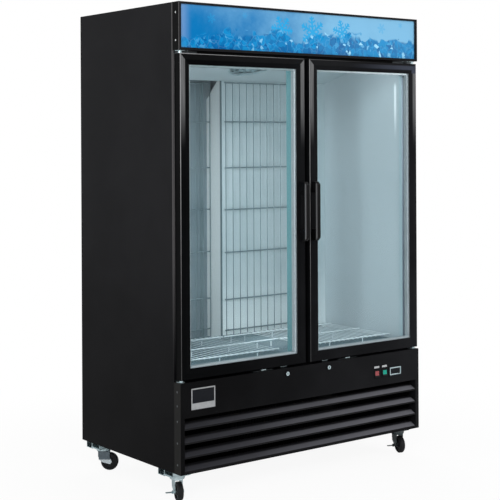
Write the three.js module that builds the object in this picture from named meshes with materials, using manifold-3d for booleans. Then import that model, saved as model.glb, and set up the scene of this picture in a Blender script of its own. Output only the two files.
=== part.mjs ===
// Two-door ice merchandiser freezer on casters: glass swing doors, a lit header sign, a
// louvred front over the condensing unit and a blown-air evaporator under the ceiling.
// Millimetres. X runs to the right of someone facing the doors, Y to the back, Z up from the floor.
// While the pieces are made, Y = 0 is the front face of the doors; the whole group is shifted at
// the end, so that the origin lies on the floor under the middle of the appliance.

import * as THREE from 'three';
import { mergeVertices } from 'three/addons/utils/BufferGeometryUtils.js';
import Module from 'manifold-3d';

const wasm = await Module();
wasm.setup();

// ---------- fits ----------
const seatGap = 0.3; // between pieces that rest on each other
const turnGap = 0.4; // round pins, axles and plugs that turn
const weld = 0.5; // how far welded sheets run into each other
const wireWeld = 1.6; // how far crossing wires run into each other
const overcut = 2; // how far a cutting tool runs past a face

// ---------- cabinet ----------
const cabinetWidth = 1384;
const bodyHeight = 1960;
const bodyDepth = 760;
const bodyBottom = 125; // floor to the underside of the cabinet
const frontDepth = 47; // depth of header, doors and lower panel in front of the body
const outerSheet = 1.5;
const sideFrontReturn = 22; // front fold of a side panel
const sideRearReturn = 15;
const sideWall = 60; // foamed walls, outside to inside
const ceilingWall = 60;
const backWall = 72;
const floorWall = 60;
const linerSheet = 1;
const frameDepth = 20; // plastic door frame of the body
const sillRise = 7; // door opening's sill above the inner floor
const doorLap = 35; // door edge over the opening, top and bottom
const mullionWidth = 72;
const mullionDepth = 58;

// ---------- back ----------
const rearSlotWidth = 220;
const rearSlotHeight = 9;
const rearSlotPitch = 26;
const rearSlotRows = 8;
const rearSlotColumns = 3;
const rearSlotRise = 90; // lowest slot above the cabinet's underside
const glandRadius = 11;
const glandWall = 4;
const glandLength = 14;
const glandFromSide = 110;
const glandRise = 55;

// ---------- header ----------
const headerHeight = 201;
const headerSheet = 2;
const signBorderSide = 12;
const signBorderTop = 9.5;
const signBorderBottom = 11;
const signSetback = 8; // sign's face behind the header's front
const signThickness = 3;
const signLap = 4; // sign behind its border
const lampRadius = 13;
const lampHalfLength = 590;
const lampSocketWidth = 22;
const lampSocketHeight = 42;

// ---------- doors ----------
const doorBottomGap = 10;
const doorTopGap = 13;
const doorSideInset = 6;
const doorMeetingGap = 28;
const doorDepth = 42;
const doorFace = 47; // width of the frame profile
const doorFlat = 26; // flat outer part of the face, before it dips to the glass
const doorDip = 3;
const doorEdgeBevel = 3;
const doorFrontLip = 4.6;
const doorRearLip = 2.7;
const glassPocket = 11; // how deep the profile takes the glass
const glassThickness = 4;
const glassEdgeGap = 1;
const gasketInset = 13;
const gasketWidth = 12;
const gasketHeight = 4.4; // outside its groove
const gasketStem = 6;
const gasketGroove = 6;
const gasketChamfer = 2;
const mitreGroove = 0.8;
const hingeInset = 12; // hinge axis from the door's outer edge
const hingeSetback = 20; // hinge axis behind the door's front face
const hingePinRadius = 5;
const hingePinLength = 20;
const hingePlate = 3;
const topHingeWidth = 115;
const bottomHingeWidth = 40;
const hingeCollarRadius = 8;

// ---------- handles ----------
const handleBottom = 1060;
const handleLength = 263;
const handleWidth = 24;
const handleReach = 38;
const handleBar = 14;
const handlePost = 50;
const handleCorner = 13;
const handleBevel = 2.5;
const handleFromEdge = 6; // from the door's meeting edge

// ---------- lower panel ----------
const lowerPanelHeight = 380;
const lowerSheet = 2;
const louvreBorderSide = 20;
const louvreBorderBottom = 4;
const louvreOpeningHeight = 229;
const louvreSheet = 1.5;
const louvreCount = 4;
const louvrePitch = 58.8;
const louvreLip = 6;
const louvreSlope = 21; // rise of a slat from its front lip to its back edge
const louvreDepth = 41;
const louvreFlange = 13;
const badgeWidth = 122;
const badgeHeight = 88;
const badgeThickness = 3;
const badgeFromSide = 53;
const badgeRise = 265;
const badgeBorder = 5;
const badgeBand = 26;
const badgeRecess = 1;

// ---------- controls ----------
const switchFromCentre = [417, 466.5];
const switchRise = 289; // switch centres above the cabinet's underside
const switchBezelWidth = 34;
const switchBezelHeight = 38;
const switchBezelProud = 2;
const switchDepth = 26;
const rockerWidth = 26;
const rockerHeight = 31;
const rockerThrow = 8; // degrees each side of level
const rockerPlay = 0.9; // above and below, so that the ends can tip
const rockerProud = 1.5; // face in front of the bezel at mid height
const rockerDip = 2;
const rockerPivotDepth = 4;
const controllerFromCentre = 534.5;
const controllerRise = 289.5;
const controllerWidth = 77;
const controllerHeight = 47;
const controllerProud = 4;
const controllerBezel = 5;
const controllerCaseInset = 3;
const controllerCaseDepth = 60;
const controllerWindowDepth = 1;
const keySize = 9;
const keyProud = 0.6;
const keyLength = 5;
const keyTravel = 1;
const keySpacing = 16;
const keyFromEdge = 15;

// ---------- locks ----------
const lockFromCentre = 121;
const lockDrop = 25; // lock axis below the lower panel's top edge
const lockPlugRadius = 9;
const lockBarrelWall = 4;
const lockProud = 3;
const lockLength = 26;
const lockCamClear = 2; // turned cam below the door
const lockCamHalfWidth = 7;
const lockCamThickness = 3;
const lockSlotSide = 4; // clearance at the sides of a cam's slot
const keeperSheet = 1.8;
const keeperWidth = 34;
const keeperBehindCam = 1.5;
const keeperFoot = 12; // from the leg to the back
const keeperAbovePanel = 2;

// ---------- casters ----------
const casterFromSide = 48;
const casterFrontSetback = 98; // kingpin behind the door face
const casterRearInset = 112; // kingpin in front of the body's back
const casterTrail = 27;
const wheelRadius = 40;
const wheelWidth = 26;
const wheelHubRadius = 15;
const wheelEdge = 5;
const wheelWebWidth = 16;
const axleRadius = 5;
const forkSheet = 2.5;
const forkSideGap = 2;
const forkCrownRadius = 31;
const forkCrownThickness = 4.7;
const forkBridge = 3;
const forkToeRadius = 10;
const axleNutRadius = 8;
const axleNutHeight = 4;
const raceRadius = 33;
const raceHeight = 8.7;
const casterPlateLength = 92; // across the cabinet
const casterPlateWidth = 70;
const casterPlateThickness = 3.3;
const railWidth = 66;
const railHeight = 20;
const railSheet = 2.5;
const railEndInset = 5;
const crossChannelWidth = 48;
const crossChannelHeight = 28;
const crossChannelFromPin = 56; // towards the back
const panSheet = 2;
const panEdge = 20;
const brakeSheet = 2.5;
const brakeArm = 38;
const brakeDrop = 13; // tab below the axle
const brakeTabLength = 27;
const brakeTabWidth = 13;
const brakeEyeRadius = 9;
const frontHeading = 250; // degrees from +X in which a caster's wheel trails
const rearLeftHeading = 323;
const rearRightHeading = 200;

// ---------- inside the cabinet ----------
const coverFrontSetback = 85; // evaporator cover's front wall behind the door face
const coverRearSetback = 610;
const coverFrontDrop = 85; // cover's lower edges below the ceiling
const coverRearDrop = 228;
const coverSheet = 1.5;
const coverHoleCutter = 80; // length of the tool that cuts the fan's hole
const fanSetback = 411;
const fanHoleRadius = 100;
const guardRingRadii = [26, 52, 80, 108];
const guardWire = 2.2;
const guardSpokes = 4;
const fanMotorRadius = 36;
const fanMotorHeight = 52;
const fanMotorRise = 48;
const fanPostRadius = 3;
const fanBladeRadius = 87;
const fanHubRadius = 27;
const fanBladeRise = 14; // hub's lower end above the cover's underside
const fanBladeCount = 4;
const fanBladePitch = 28;
const bladeSheet = 2;
const bladeRoot = 4; // how far a blade starts inside its hub
const coilHalfWidth = 450;
const coilFanGap = 9; // coil behind the sweep of the blades
const coilRearGap = 14;
const coilFinCount = 20;
const coilFinGapShare = 0.55;
const coilSpine = 60;
const coilCoverGap = 14;
const ductLeft = -28; // left side of the air duct from the cabinet's middle
const ductFaceRise = 22; // air gap under the duct's face
const ductRearNotch = 88; // sloped cut at the top of the duct's side
const ductFlange = 22;
const ductSheet = 1.5;
const ductLapAboveCover = 14;
const guardStandOff = 20; // wire guard in front of the duct
const backGuardStandOff = 45;
const guardWireRadius = 2.8;
const guardRailRadius = 3.2;
const guardWirePitch = 42;
const guardBottomRise = 8; // lowest rail above the inner floor
const guardTopGap = 9; // top rail below the evaporator cover's rear edge
const guardRailShares = [0, 0.032, 0.152, 0.336, 0.503, 0.667, 0.847, 1]; // of the height between them
const guardFootedRails = [1, 3, 5, 7];
const guardSideGap = 10;
const guardRightGap = 100; // from the right wall to the guard in front of the duct
const pilasterWidth = 20;
const pilasterThickness = 3;
const pilasterFromDuct = 34;

// ---------- floor racks ----------
const rackFromMiddle = 95;
const rackSideGap = 42;
const rackFrontGap = 33; // behind the door frame of the body
const rackRearGap = 26; // in front of the duct
const rackRearOverhang = 58; // wires behind the last cross bar
const rackRise = 35;
const rackBarCount = 3;
const rackBarRadius = 3.2;
const rackWireRadius = 1.8;
const rackWirePitch = 29;
const rackOverhang = 6;
const rackLegFromEnd = 117;
const rackLegPitch = 207;
const rackLegCount = 2;

// ---------- condensing unit ----------
const condenserFromSide = 332;
const condenserWidth = 470;
const condenserHeight = 270;
const condenserDepth = 60;
const condenserSetback = 92;
const condenserFinCount = 30;
const condenserHeaderGap = 0.5; // share of the fin pitch that is open
const condenserSpine = 24;
const shroudDepth = 34;
const shroudSheet = 1.5;
const condenserFanRadius = 112;
const condenserFanGap = 5;
const condenserMotorRadius = 42;
const condenserMotorLength = 78;
const condenserHubRadius = 26;
const condenserHubHeight = 16;
const condenserArm = 8;
const condenserArmFromHub = 20; // arms behind the hub, clear of the blades
const condenserFrameEdge = 12; // plain edge above and below the fins
const compressorFromSide = 262;
const compressorSetback = 420;
const compressorRadius = 88;
const compressorHeight = 210;
const compressorFoot = 3;
const compressorFootSize = 205;

// ---------- derived places ----------
const halfWidth = cabinetWidth / 2;
const bodyFront = frontDepth;
const bodyBack = frontDepth + bodyDepth;
const bodyTop = bodyBottom + bodyHeight;
const panelInside = halfWidth - outerSheet - seatGap;
const innerHalfWidth = halfWidth - sideWall;
const innerBack = bodyBack - backWall;
const innerCeiling = bodyTop - ceilingWall;
const lowerPanelTop = bodyBottom + lowerPanelHeight;
const doorBottom = lowerPanelTop + doorBottomGap;
const headerBottom = bodyTop - headerHeight;
const doorTop = headerBottom - doorTopGap;
const openingBottom = doorBottom + doorLap;
const openingTop = doorTop - doorLap;
const innerFloor = openingBottom - sillRise;
const foamBottom = innerFloor - floorWall;
const frameBack = bodyFront + frameDepth;
const moduleBack = bodyFront - seatGap; // back of header and lower panel
const ductFront = coverRearSetback;
const coverRearHeight = innerCeiling - coverRearDrop;
const coverPitch = (coverRearDrop - coverFrontDrop) / (coverRearSetback - coverFrontSetback);
const coverSlope = Math.atan(coverPitch);
const circleSides = 20;

// ---------- finishes ----------
const finishes = {
  blackPaint: { color: 0x1d1d20, roughness: 0.42, metalness: 0.3 },
  blackPlastic: { color: 0x17181a, roughness: 0.5, metalness: 0 },
  louvrePaint: { color: 0x2b2b30, roughness: 0.4, metalness: 0.3 },
  galvanised: { color: 0xb4babd, roughness: 0.38, metalness: 0.9 },
  zinc: { color: 0xc3cbce, roughness: 0.28, metalness: 0.9 },
  whiteLiner: { color: 0xdfe4e4, roughness: 0.35, metalness: 0.2 },
  foam: { color: 0xe8d9a8, roughness: 0.9, metalness: 0 },
  glass: { color: 0xbfd4d6, roughness: 0.05, metalness: 0, transparent: true, opacity: 0.3 },
  sign: { color: 0x2f97d8, roughness: 0.2, metalness: 0 },
  lamp: { color: 0xf6f6f0, roughness: 0.3, metalness: 0 },
  rubber: { color: 0x1b1b1c, roughness: 0.85, metalness: 0 },
  steel: { color: 0xc9ced1, roughness: 0.3, metalness: 0.9 },
  aluminium: { color: 0xc5cbcc, roughness: 0.4, metalness: 0.8 },
  redPlastic: { color: 0xa8383f, roughness: 0.3, metalness: 0 },
  greenPlastic: { color: 0x1fa58c, roughness: 0.3, metalness: 0 },
  whiteWire: { color: 0xdfe6e8, roughness: 0.4, metalness: 0.1 },
  compressorPaint: { color: 0x141414, roughness: 0.55, metalness: 0.3 },
};

// ---------- shape helpers ----------

// Position-only copy with shared vertices and no flat triangles, its faces pointing out.
function welded(source) {
  const bare = source.clone();
  for (const attribute of Object.keys(bare.attributes)) {
    if (attribute !== 'position') bare.deleteAttribute(attribute);
  }
  const merged = mergeVertices(bare, 1e-4);
  const corners = merged.index.array;
  const kept = [];
  for (let i = 0; i < corners.length; i += 3) {
    const [a, b, c] = [corners[i], corners[i + 1], corners[i + 2]];
    if (a !== b && b !== c && c !== a) kept.push(a, b, c);
  }
  if (signedVolume(merged.attributes.position, kept) < 0) kept.reverse();
  merged.setIndex(kept);
  return merged;
}

function signedVolume(position, corners) {
  const a = new THREE.Vector3();
  const b = new THREE.Vector3();
  const c = new THREE.Vector3();
  let sum = 0;
  for (let i = 0; i < corners.length; i += 3) {
    a.fromBufferAttribute(position, corners[i]);
    b.fromBufferAttribute(position, corners[i + 1]);
    c.fromBufferAttribute(position, corners[i + 2]);
    sum += a.dot(b.cross(c));
  }
  return sum / 6;
}

function solidOf(geometry) {
  const shell = welded(geometry);
  const vertProperties = new Float32Array(shell.attributes.position.array);
  const triVerts = new Uint32Array(shell.index.array);
  return new wasm.Manifold(new wasm.Mesh({ numProp: 3, vertProperties, triVerts }));
}

function geometryOf(solid) {
  const mesh = solid.getMesh();
  const geometry = new THREE.BufferGeometry();
  geometry.setAttribute('position', new THREE.BufferAttribute(new Float32Array(mesh.vertProperties), 3));
  geometry.setIndex(new THREE.BufferAttribute(new Uint32Array(mesh.triVerts), 1));
  geometry.computeVertexNormals();
  return geometry;
}

function join(...shapes) {
  return geometryOf(shapes.map(solidOf).reduce((whole, piece) => whole.add(piece)));
}

function cut(shape, ...tools) {
  return geometryOf(tools.map(solidOf).reduce((whole, tool) => whole.subtract(tool), solidOf(shape)));
}

function block(x0, x1, y0, y1, z0, z1) {
  const geometry = new THREE.BoxGeometry(x1 - x0, y1 - y0, z1 - z0);
  return geometry.translate((x0 + x1) / 2, (y0 + y1) / 2, (z0 + z1) / 2);
}

function shapeOf(outline) {
  return new THREE.Shape(outline.map(([u, v]) => new THREE.Vector2(u, v)));
}

function extruded(outline, length) {
  const shape = outline instanceof THREE.Shape ? outline : shapeOf(outline);
  return new THREE.ExtrudeGeometry(shape, { depth: length, bevelEnabled: false, curveSegments: 6 });
}

// Outline given in (y, z), running along X.
function prismAlongX(outline, x0, x1) {
  const turn = new THREE.Matrix4().makeBasis(
    new THREE.Vector3(0, 1, 0),
    new THREE.Vector3(0, 0, 1),
    new THREE.Vector3(1, 0, 0),
  );
  return extruded(outline, x1 - x0).applyMatrix4(turn).translate(x0, 0, 0);
}

// Outline given in (x, z), running along Y.
function prismAlongY(outline, y0, y1) {
  const turn = new THREE.Matrix4().makeBasis(
    new THREE.Vector3(1, 0, 0),
    new THREE.Vector3(0, 0, 1),
    new THREE.Vector3(0, -1, 0),
  );
  return extruded(outline, y1 - y0).applyMatrix4(turn).translate(0, y1, 0);
}

// Outline given in (x, y), running up Z.
function prismAlongZ(outline, z0, z1) {
  return extruded(outline, z1 - z0).translate(0, 0, z0);
}

function rodAlongX(radius, x0, x1, y, z, sides = circleSides, turn = 0) {
  const rod = new THREE.CylinderGeometry(radius, radius, x1 - x0, sides).rotateY(turn);
  return rod.rotateZ(Math.PI / 2).translate((x0 + x1) / 2, y, z);
}

function rodAlongY(radius, x, y0, y1, z, sides = circleSides, turn = 0) {
  const rod = new THREE.CylinderGeometry(radius, radius, y1 - y0, sides).rotateY(turn);
  return rod.translate(x, (y0 + y1) / 2, z);
}

function rodAlongZ(radius, x, y, z0, z1, sides = circleSides, turn = 0) {
  const rod = new THREE.CylinderGeometry(radius, radius, z1 - z0, sides).rotateY(turn);
  return rod.rotateX(Math.PI / 2).translate(x, y, (z0 + z1) / 2);
}

// A section of [inset from the outline, depth in Y] points, run round a rectangle with mitred corners.
function mitredRing(section, x0, x1, z0, z1) {
  const positions = [];
  for (const [inset, depth] of section) {
    positions.push(x0 + inset, depth, z0 + inset);
    positions.push(x1 - inset, depth, z0 + inset);
    positions.push(x1 - inset, depth, z1 - inset);
    positions.push(x0 + inset, depth, z1 - inset);
  }
  const faces = [];
  for (let i = 0; i < section.length; i += 1) {
    const next = (i + 1) % section.length;
    for (let side = 0; side < 4; side += 1) {
      const after = (side + 1) % 4;
      faces.push(i * 4 + side, i * 4 + after, next * 4 + after);
      faces.push(i * 4 + side, next * 4 + after, next * 4 + side);
    }
  }
  const geometry = new THREE.BufferGeometry();
  geometry.setAttribute('position', new THREE.Float32BufferAttribute(positions, 3));
  geometry.setIndex(faces);
  return welded(geometry);
}

// Revolved about Z from [radius, height] points.
function turned(profile, sides = circleSides) {
  const points = profile.map(([radius, height]) => new THREE.Vector2(radius, height));
  return welded(new THREE.LatheGeometry(points, sides).rotateX(Math.PI / 2));
}

// Wires are four-sided, with their edges up, down, in front and behind.
const wireX = (radius, x0, x1, y, z) => rodAlongX(radius, x0, x1, y, z, 4);
const wireY = (radius, x, y0, y1, z) => rodAlongY(radius, x, y0, y1, z, 4);
const wireZ = (radius, x, y, z0, z1) => rodAlongZ(radius, x, y, z0, z1, 4);

const degrees = THREE.MathUtils.degToRad;
const freezer = new THREE.Group();

function place(name, geometry, finish, parent = freezer) {
  const mesh = new THREE.Mesh(geometry, new THREE.MeshStandardMaterial(finishes[finish]));
  mesh.name = name;
  parent.add(mesh);
  return mesh;
}

// ---------- outer shell ----------

function sidePanel(side) {
  const outer = side * halfWidth;
  const inner = side * (halfWidth - outerSheet);
  const outline = [
    [outer, bodyFront],
    [side * (halfWidth - sideFrontReturn), bodyFront],
    [side * (halfWidth - sideFrontReturn), bodyFront + outerSheet],
    [inner, bodyFront + outerSheet],
    [inner, bodyBack - outerSheet],
    [side * (halfWidth - sideRearReturn), bodyBack - outerSheet],
    [side * (halfWidth - sideRearReturn), bodyBack],
    [outer, bodyBack],
  ];
  return prismAlongZ(outline, bodyBottom, bodyTop);
}

function topPanel() {
  const front = bodyFront + outerSheet + seatGap;
  const back = bodyBack - outerSheet - seatGap;
  return block(-panelInside, panelInside, front, back, bodyTop - outerSheet, bodyTop);
}

function rearSlots() {
  const slots = [];
  const span = rearSlotColumns * rearSlotWidth * 1.25;
  for (let column = 0; column < rearSlotColumns; column += 1) {
    const middle = -span / 2 + (column + 0.5) * (span / rearSlotColumns);
    for (let row = 0; row < rearSlotRows; row += 1) {
      const z = bodyBottom + rearSlotRise + row * rearSlotPitch;
      slots.push(block(
        middle - rearSlotWidth / 2, middle + rearSlotWidth / 2,
        bodyBack - outerSheet - overcut, bodyBack + overcut,
        z, z + rearSlotHeight,
      ));
    }
  }
  return slots;
}

// Back sheet with the condensing unit's vent slots and the gland of the supply cord.
function backPanel() {
  const half = halfWidth - sideRearReturn - seatGap;
  const sheet = block(-half, half, bodyBack - outerSheet, bodyBack, bodyBottom, bodyTop - outerSheet - seatGap);
  const x = halfWidth - glandFromSide;
  const z = bodyBottom + glandRise;
  const boss = rodAlongY(glandRadius + glandWall, x, bodyBack - outerSheet - glandLength, bodyBack, z);
  const bore = rodAlongY(glandRadius, x, bodyBack - outerSheet - glandLength - overcut, bodyBack + overcut, z);
  return cut(join(sheet, boss), bore, ...rearSlots());
}

place('left_side_panel', sidePanel(-1), 'blackPaint');
place('right_side_panel', sidePanel(1), 'blackPaint');
place('top_panel', topPanel(), 'blackPaint');
place('back_panel', backPanel(), 'blackPaint');

// ---------- insulated box ----------

function insulation() {
  const foam = block(
    -panelInside, panelInside,
    frameBack + seatGap, bodyBack - outerSheet - seatGap,
    foamBottom, bodyTop - outerSheet - seatGap,
  );
  const wall = linerSheet + seatGap;
  const hollow = block(
    -innerHalfWidth - wall, innerHalfWidth + wall,
    frameBack - overcut, innerBack + wall,
    innerFloor - wall, innerCeiling + wall,
  );
  return cut(foam, hollow);
}

function liner() {
  const shell = block(
    -innerHalfWidth - linerSheet, innerHalfWidth + linerSheet,
    frameBack + seatGap, innerBack + linerSheet,
    innerFloor - linerSheet, innerCeiling + linerSheet,
  );
  const hollow = block(
    -innerHalfWidth, innerHalfWidth,
    frameBack - overcut, innerBack,
    innerFloor, innerCeiling,
  );
  return cut(shell, hollow);
}

// Frame that the doors close on, with the post between the two openings.
function frontFrame() {
  const top = bodyTop - outerSheet - seatGap;
  const lip = halfWidth - sideFrontReturn - seatGap;
  const behindReturn = bodyFront + outerSheet + seatGap;
  const plate = block(-panelInside, panelInside, behindReturn, frameBack, foamBottom, top);
  const face = block(-lip, lip, bodyFront, behindReturn + weld, foamBottom, top);
  const opening = block(
    -innerHalfWidth, innerHalfWidth,
    bodyFront - overcut, frameBack + overcut,
    openingBottom, openingTop,
  );
  const post = block(
    -mullionWidth / 2, mullionWidth / 2,
    bodyFront, bodyFront + mullionDepth,
    openingBottom - weld, openingTop + weld,
  );
  return join(cut(join(plate, face), opening), post);
}

place('insulation', insulation(), 'foam');
place('inner_liner', liner(), 'whiteLiner');
place('front_frame', frontFrame(), 'blackPlastic');

// ---------- header ----------

// Box open at the back. Its window has folded edges that run back to the sign.
function headerBox() {
  const shell = block(-halfWidth, halfWidth, 0, moduleBack, headerBottom, bodyTop);
  const hollow = block(
    -halfWidth + headerSheet, halfWidth - headerSheet,
    headerSheet, moduleBack + overcut,
    headerBottom + headerSheet, bodyTop - headerSheet,
  );
  const folds = windowBlock(headerSheet, 0, signSetback - seatGap);
  return cut(join(cut(shell, hollow), folds), windowBlock(0, -overcut, signSetback + overcut));
}

// The header's window, grown by a margin on all four sides.
function windowBlock(margin, y0, y1) {
  const half = halfWidth - signBorderSide + margin;
  return block(
    -half, half, y0, y1,
    headerBottom + signBorderBottom - margin, bodyTop - signBorderTop + margin,
  );
}

function signPanel() {
  return windowBlock(signLap, signSetback, signSetback + signThickness);
}

// Lamp tube with its two sockets, fixed to the body behind the sign.
function signLamp() {
  const z = (headerBottom + bodyTop) / 2;
  const y = (signSetback + signThickness + moduleBack) / 2;
  const tube = rodAlongX(lampRadius, -lampHalfLength - weld, lampHalfLength + weld, y, z, 16);
  const sockets = [-1, 1].map((side) => {
    const near = side * lampHalfLength;
    const far = side * (lampHalfLength + lampSocketWidth);
    return block(
      Math.min(near, far), Math.max(near, far),
      y - lampRadius - 1, moduleBack,
      z - lampSocketHeight / 2, z + lampSocketHeight / 2,
    );
  });
  return join(tube, ...sockets);
}

place('header_box', headerBox(), 'blackPaint');
place('sign_panel', signPanel(), 'sign');
place('sign_lamp', signLamp(), 'lamp');

// ---------- doors ----------

const doorOuterEdge = halfWidth - doorSideInset;
const doorInnerEdge = doorMeetingGap / 2;
const hingeX = doorOuterEdge - hingeInset;
const lockAxisHeight = lowerPanelTop - lockDrop;
const lockCamFront = lockLength - lockCamThickness;
const lockCamReach = doorBottom - lockCamClear - lockAxisHeight;

function doorEdges(side) {
  const edges = [side * doorOuterEdge, side * doorInnerEdge];
  return [Math.min(...edges), Math.max(...edges)];
}

// Door frame profile: a face that dips to the glass, the pocket for the glass unit, the gasket's groove.
function doorSection() {
  const pocket = doorFace - glassPocket;
  const rearLip = doorDepth - doorRearLip;
  const stemFrom = gasketInset + (gasketWidth - gasketStem) / 2 - seatGap;
  const stemTo = stemFrom + gasketStem + 2 * seatGap;
  return [
    [0, doorEdgeBevel],
    [doorEdgeBevel, 0],
    [doorFlat, 0],
    [doorFace, doorDip],
    [doorFace, doorFrontLip],
    [pocket, doorFrontLip],
    [pocket, rearLip],
    [doorFace, rearLip],
    [doorFace, doorDepth],
    [stemTo, doorDepth],
    [stemTo, doorDepth - gasketGroove],
    [stemFrom, doorDepth - gasketGroove],
    [stemFrom, doorDepth],
    [0, doorDepth],
  ];
}

function gasketSection() {
  const stemFrom = gasketInset + (gasketWidth - gasketStem) / 2;
  const base = doorDepth + seatGap;
  const face = doorDepth + seatGap + gasketHeight;
  return [
    [stemFrom, doorDepth - gasketGroove + seatGap],
    [stemFrom + gasketStem, doorDepth - gasketGroove + seatGap],
    [stemFrom + gasketStem, base],
    [gasketInset + gasketWidth, base],
    [gasketInset + gasketWidth, face - gasketChamfer],
    [gasketInset + gasketWidth - gasketChamfer, face],
    [gasketInset + gasketChamfer, face],
    [gasketInset, face - gasketChamfer],
    [gasketInset, base],
    [stemFrom, base],
  ];
}

// Fine grooves across the face at the four mitred corners.
function mitreGrooves(x0, x1) {
  const reach = doorFace * Math.SQRT2;
  const corners = [[x0, doorBottom, 1, 1], [x1, doorBottom, -1, 1], [x1, doorTop, -1, -1], [x0, doorTop, 1, -1]];
  return corners.map(([x, z, towardX, towardZ]) => {
    const groove = block(-reach, reach, -mitreGroove, mitreGroove, -mitreGroove / 2, mitreGroove / 2);
    groove.rotateY(-Math.atan2(towardZ, towardX));
    return groove.translate(x, 0, z);
  });
}

function doorFrame(side) {
  const [x0, x1] = doorEdges(side);
  const holeRadius = hingePinRadius + turnGap;
  const holeDepth = hingePinLength + 1;
  const pinX = side * hingeX;
  const lowerHole = rodAlongZ(holeRadius, pinX, hingeSetback, doorBottom - overcut, doorBottom + holeDepth);
  const upperHole = rodAlongZ(holeRadius, pinX, hingeSetback, doorTop - holeDepth, doorTop + overcut);
  const ring = mitredRing(doorSection(), x0, x1, doorBottom, doorTop);
  return cut(ring, lowerHole, upperHole, ...mitreGrooves(x0, x1));
}

function glassPane(side, front) {
  const [x0, x1] = doorEdges(side);
  const inset = doorFace - glassPocket + glassEdgeGap;
  return block(x0 + inset, x1 - inset, front, front + glassThickness, doorBottom + inset, doorTop - inset);
}

// Bar handle on two posts, its outer corners cut off.
function doorHandle(side) {
  const back = -seatGap;
  const front = -handleReach;
  const inner = -handleReach + handleBar;
  const top = handleBottom + handleLength;
  const shape = shapeOf([
    [back, handleBottom],
    [front + handleCorner, handleBottom],
    [front, handleBottom + handleCorner],
    [front, top - handleCorner],
    [front + handleCorner, top],
    [back, top],
    [back, top - handlePost],
    [inner + handleBevel, top - handlePost],
    [inner, top - handlePost - handleBevel],
    [inner, handleBottom + handlePost + handleBevel],
    [inner + handleBevel, handleBottom + handlePost],
    [back, handleBottom + handlePost],
  ]);
  const bar = new THREE.ExtrudeGeometry(shape, {
    depth: handleWidth - 2 * handleBevel,
    bevelEnabled: true,
    bevelThickness: handleBevel,
    bevelSize: handleBevel,
    bevelOffset: -handleBevel,
    bevelSegments: 2,
  });
  const turn = new THREE.Matrix4().makeBasis(
    new THREE.Vector3(0, 1, 0),
    new THREE.Vector3(0, 0, 1),
    new THREE.Vector3(1, 0, 0),
  );
  const middle = side * (doorInnerEdge + handleFromEdge + handleWidth / 2);
  return bar.applyMatrix4(turn).translate(middle - handleWidth / 2 + handleBevel, 0, 0);
}

for (const [label, side] of [['left', -1], ['right', 1]]) {
  const [x0, x1] = doorEdges(side);
  const rearPane = doorDepth - doorRearLip - seatGap - glassThickness;
  place(`${label}_door_frame`, doorFrame(side), 'blackPaint');
  place(`${label}_door_outer_glass`, glassPane(side, doorFrontLip + seatGap), 'glass');
  place(`${label}_door_inner_glass`, glassPane(side, rearPane), 'glass');
  place(`${label}_door_gasket`, mitredRing(gasketSection(), x0, x1, doorBottom, doorTop), 'rubber');
  place(`${label}_door_handle`, doorHandle(side), 'blackPlastic');
}

// ---------- hinges ----------

// Bracket with its pin. It grips the body's front and carries the door on a collar.
function hinge(side, level) {
  const doorEnd = level === 'top' ? doorTop : doorBottom;
  const away = level === 'top' ? 1 : -1;
  const collarEnd = doorEnd + away * seatGap;
  const gap = level === 'top' ? doorTopGap : doorBottomGap;
  const plateFar = doorEnd + away * (gap - seatGap);
  const plateNear = plateFar - away * hingePlate;
  const x0 = side * doorOuterEdge;
  const x1 = x0 - side * (level === 'top' ? topHingeWidth : bottomHingeWidth);
  const pinX = side * hingeX;
  const nose = hingeSetback - hingeInset;
  const outline = [
    [x0, moduleBack],
    [x0, hingeSetback],
    [x0 - side * (hingeInset / 3), nose + hingeInset / 3],
    [pinX, nose],
    [pinX - side * hingeInset, nose + hingeInset / 3],
    [x1, moduleBack],
  ];
  const plate = prismAlongZ(outline, Math.min(plateFar, plateNear), Math.max(plateFar, plateNear));
  const legEnd = doorEnd + away * seatGap;
  const leg = block(
    Math.min(x0, x1), Math.max(x0, x1),
    moduleBack - hingePlate, moduleBack,
    Math.min(legEnd, plateFar), Math.max(legEnd, plateFar),
  );
  const collar = rodAlongZ(
    hingeCollarRadius, pinX, hingeSetback,
    Math.min(collarEnd, plateNear + away * weld), Math.max(collarEnd, plateNear + away * weld),
  );
  const pinEnd = doorEnd - away * hingePinLength;
  const pin = rodAlongZ(
    hingePinRadius, pinX, hingeSetback,
    Math.min(pinEnd, plateNear), Math.max(pinEnd, plateNear), 16,
  );
  return join(plate, leg, collar, pin);
}

place('left_top_hinge', hinge(-1, 'top'), 'zinc');
place('left_bottom_hinge', hinge(-1, 'bottom'), 'zinc');
place('right_top_hinge', hinge(1, 'top'), 'zinc');
place('right_bottom_hinge', hinge(1, 'bottom'), 'zinc');

// ---------- lower panel, louvres and badge ----------

// X range that a lock's cam sweeps where it passes the level z, on its way up.
function camSlot(side, z) {
  const rise = Math.max(z - lockAxisHeight, 0);
  const tip = Math.hypot(lockCamReach, lockCamHalfWidth);
  const sweep = Math.sqrt(Math.max(tip * tip - rise * rise, 0));
  const edges = [
    side * (lockFromCentre - lockCamHalfWidth - lockSlotSide),
    side * (lockFromCentre + sweep + lockSlotSide),
  ];
  return [Math.min(...edges), Math.max(...edges)];
}

function switchPocket(x) {
  const z = bodyBottom + switchRise;
  const half = rockerWidth / 2 + seatGap;
  const halfHeight = rockerHeight / 2 + seatGap;
  return block(x - half, x + half, -switchBezelProud - overcut, switchDepth - lowerSheet, z - halfHeight, z + halfHeight);
}

function switchHousing(x) {
  const z = bodyBottom + switchRise;
  return block(
    x - switchBezelWidth / 2, x + switchBezelWidth / 2,
    -switchBezelProud, switchDepth,
    z - switchBezelHeight / 2, z + switchBezelHeight / 2,
  );
}

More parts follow.
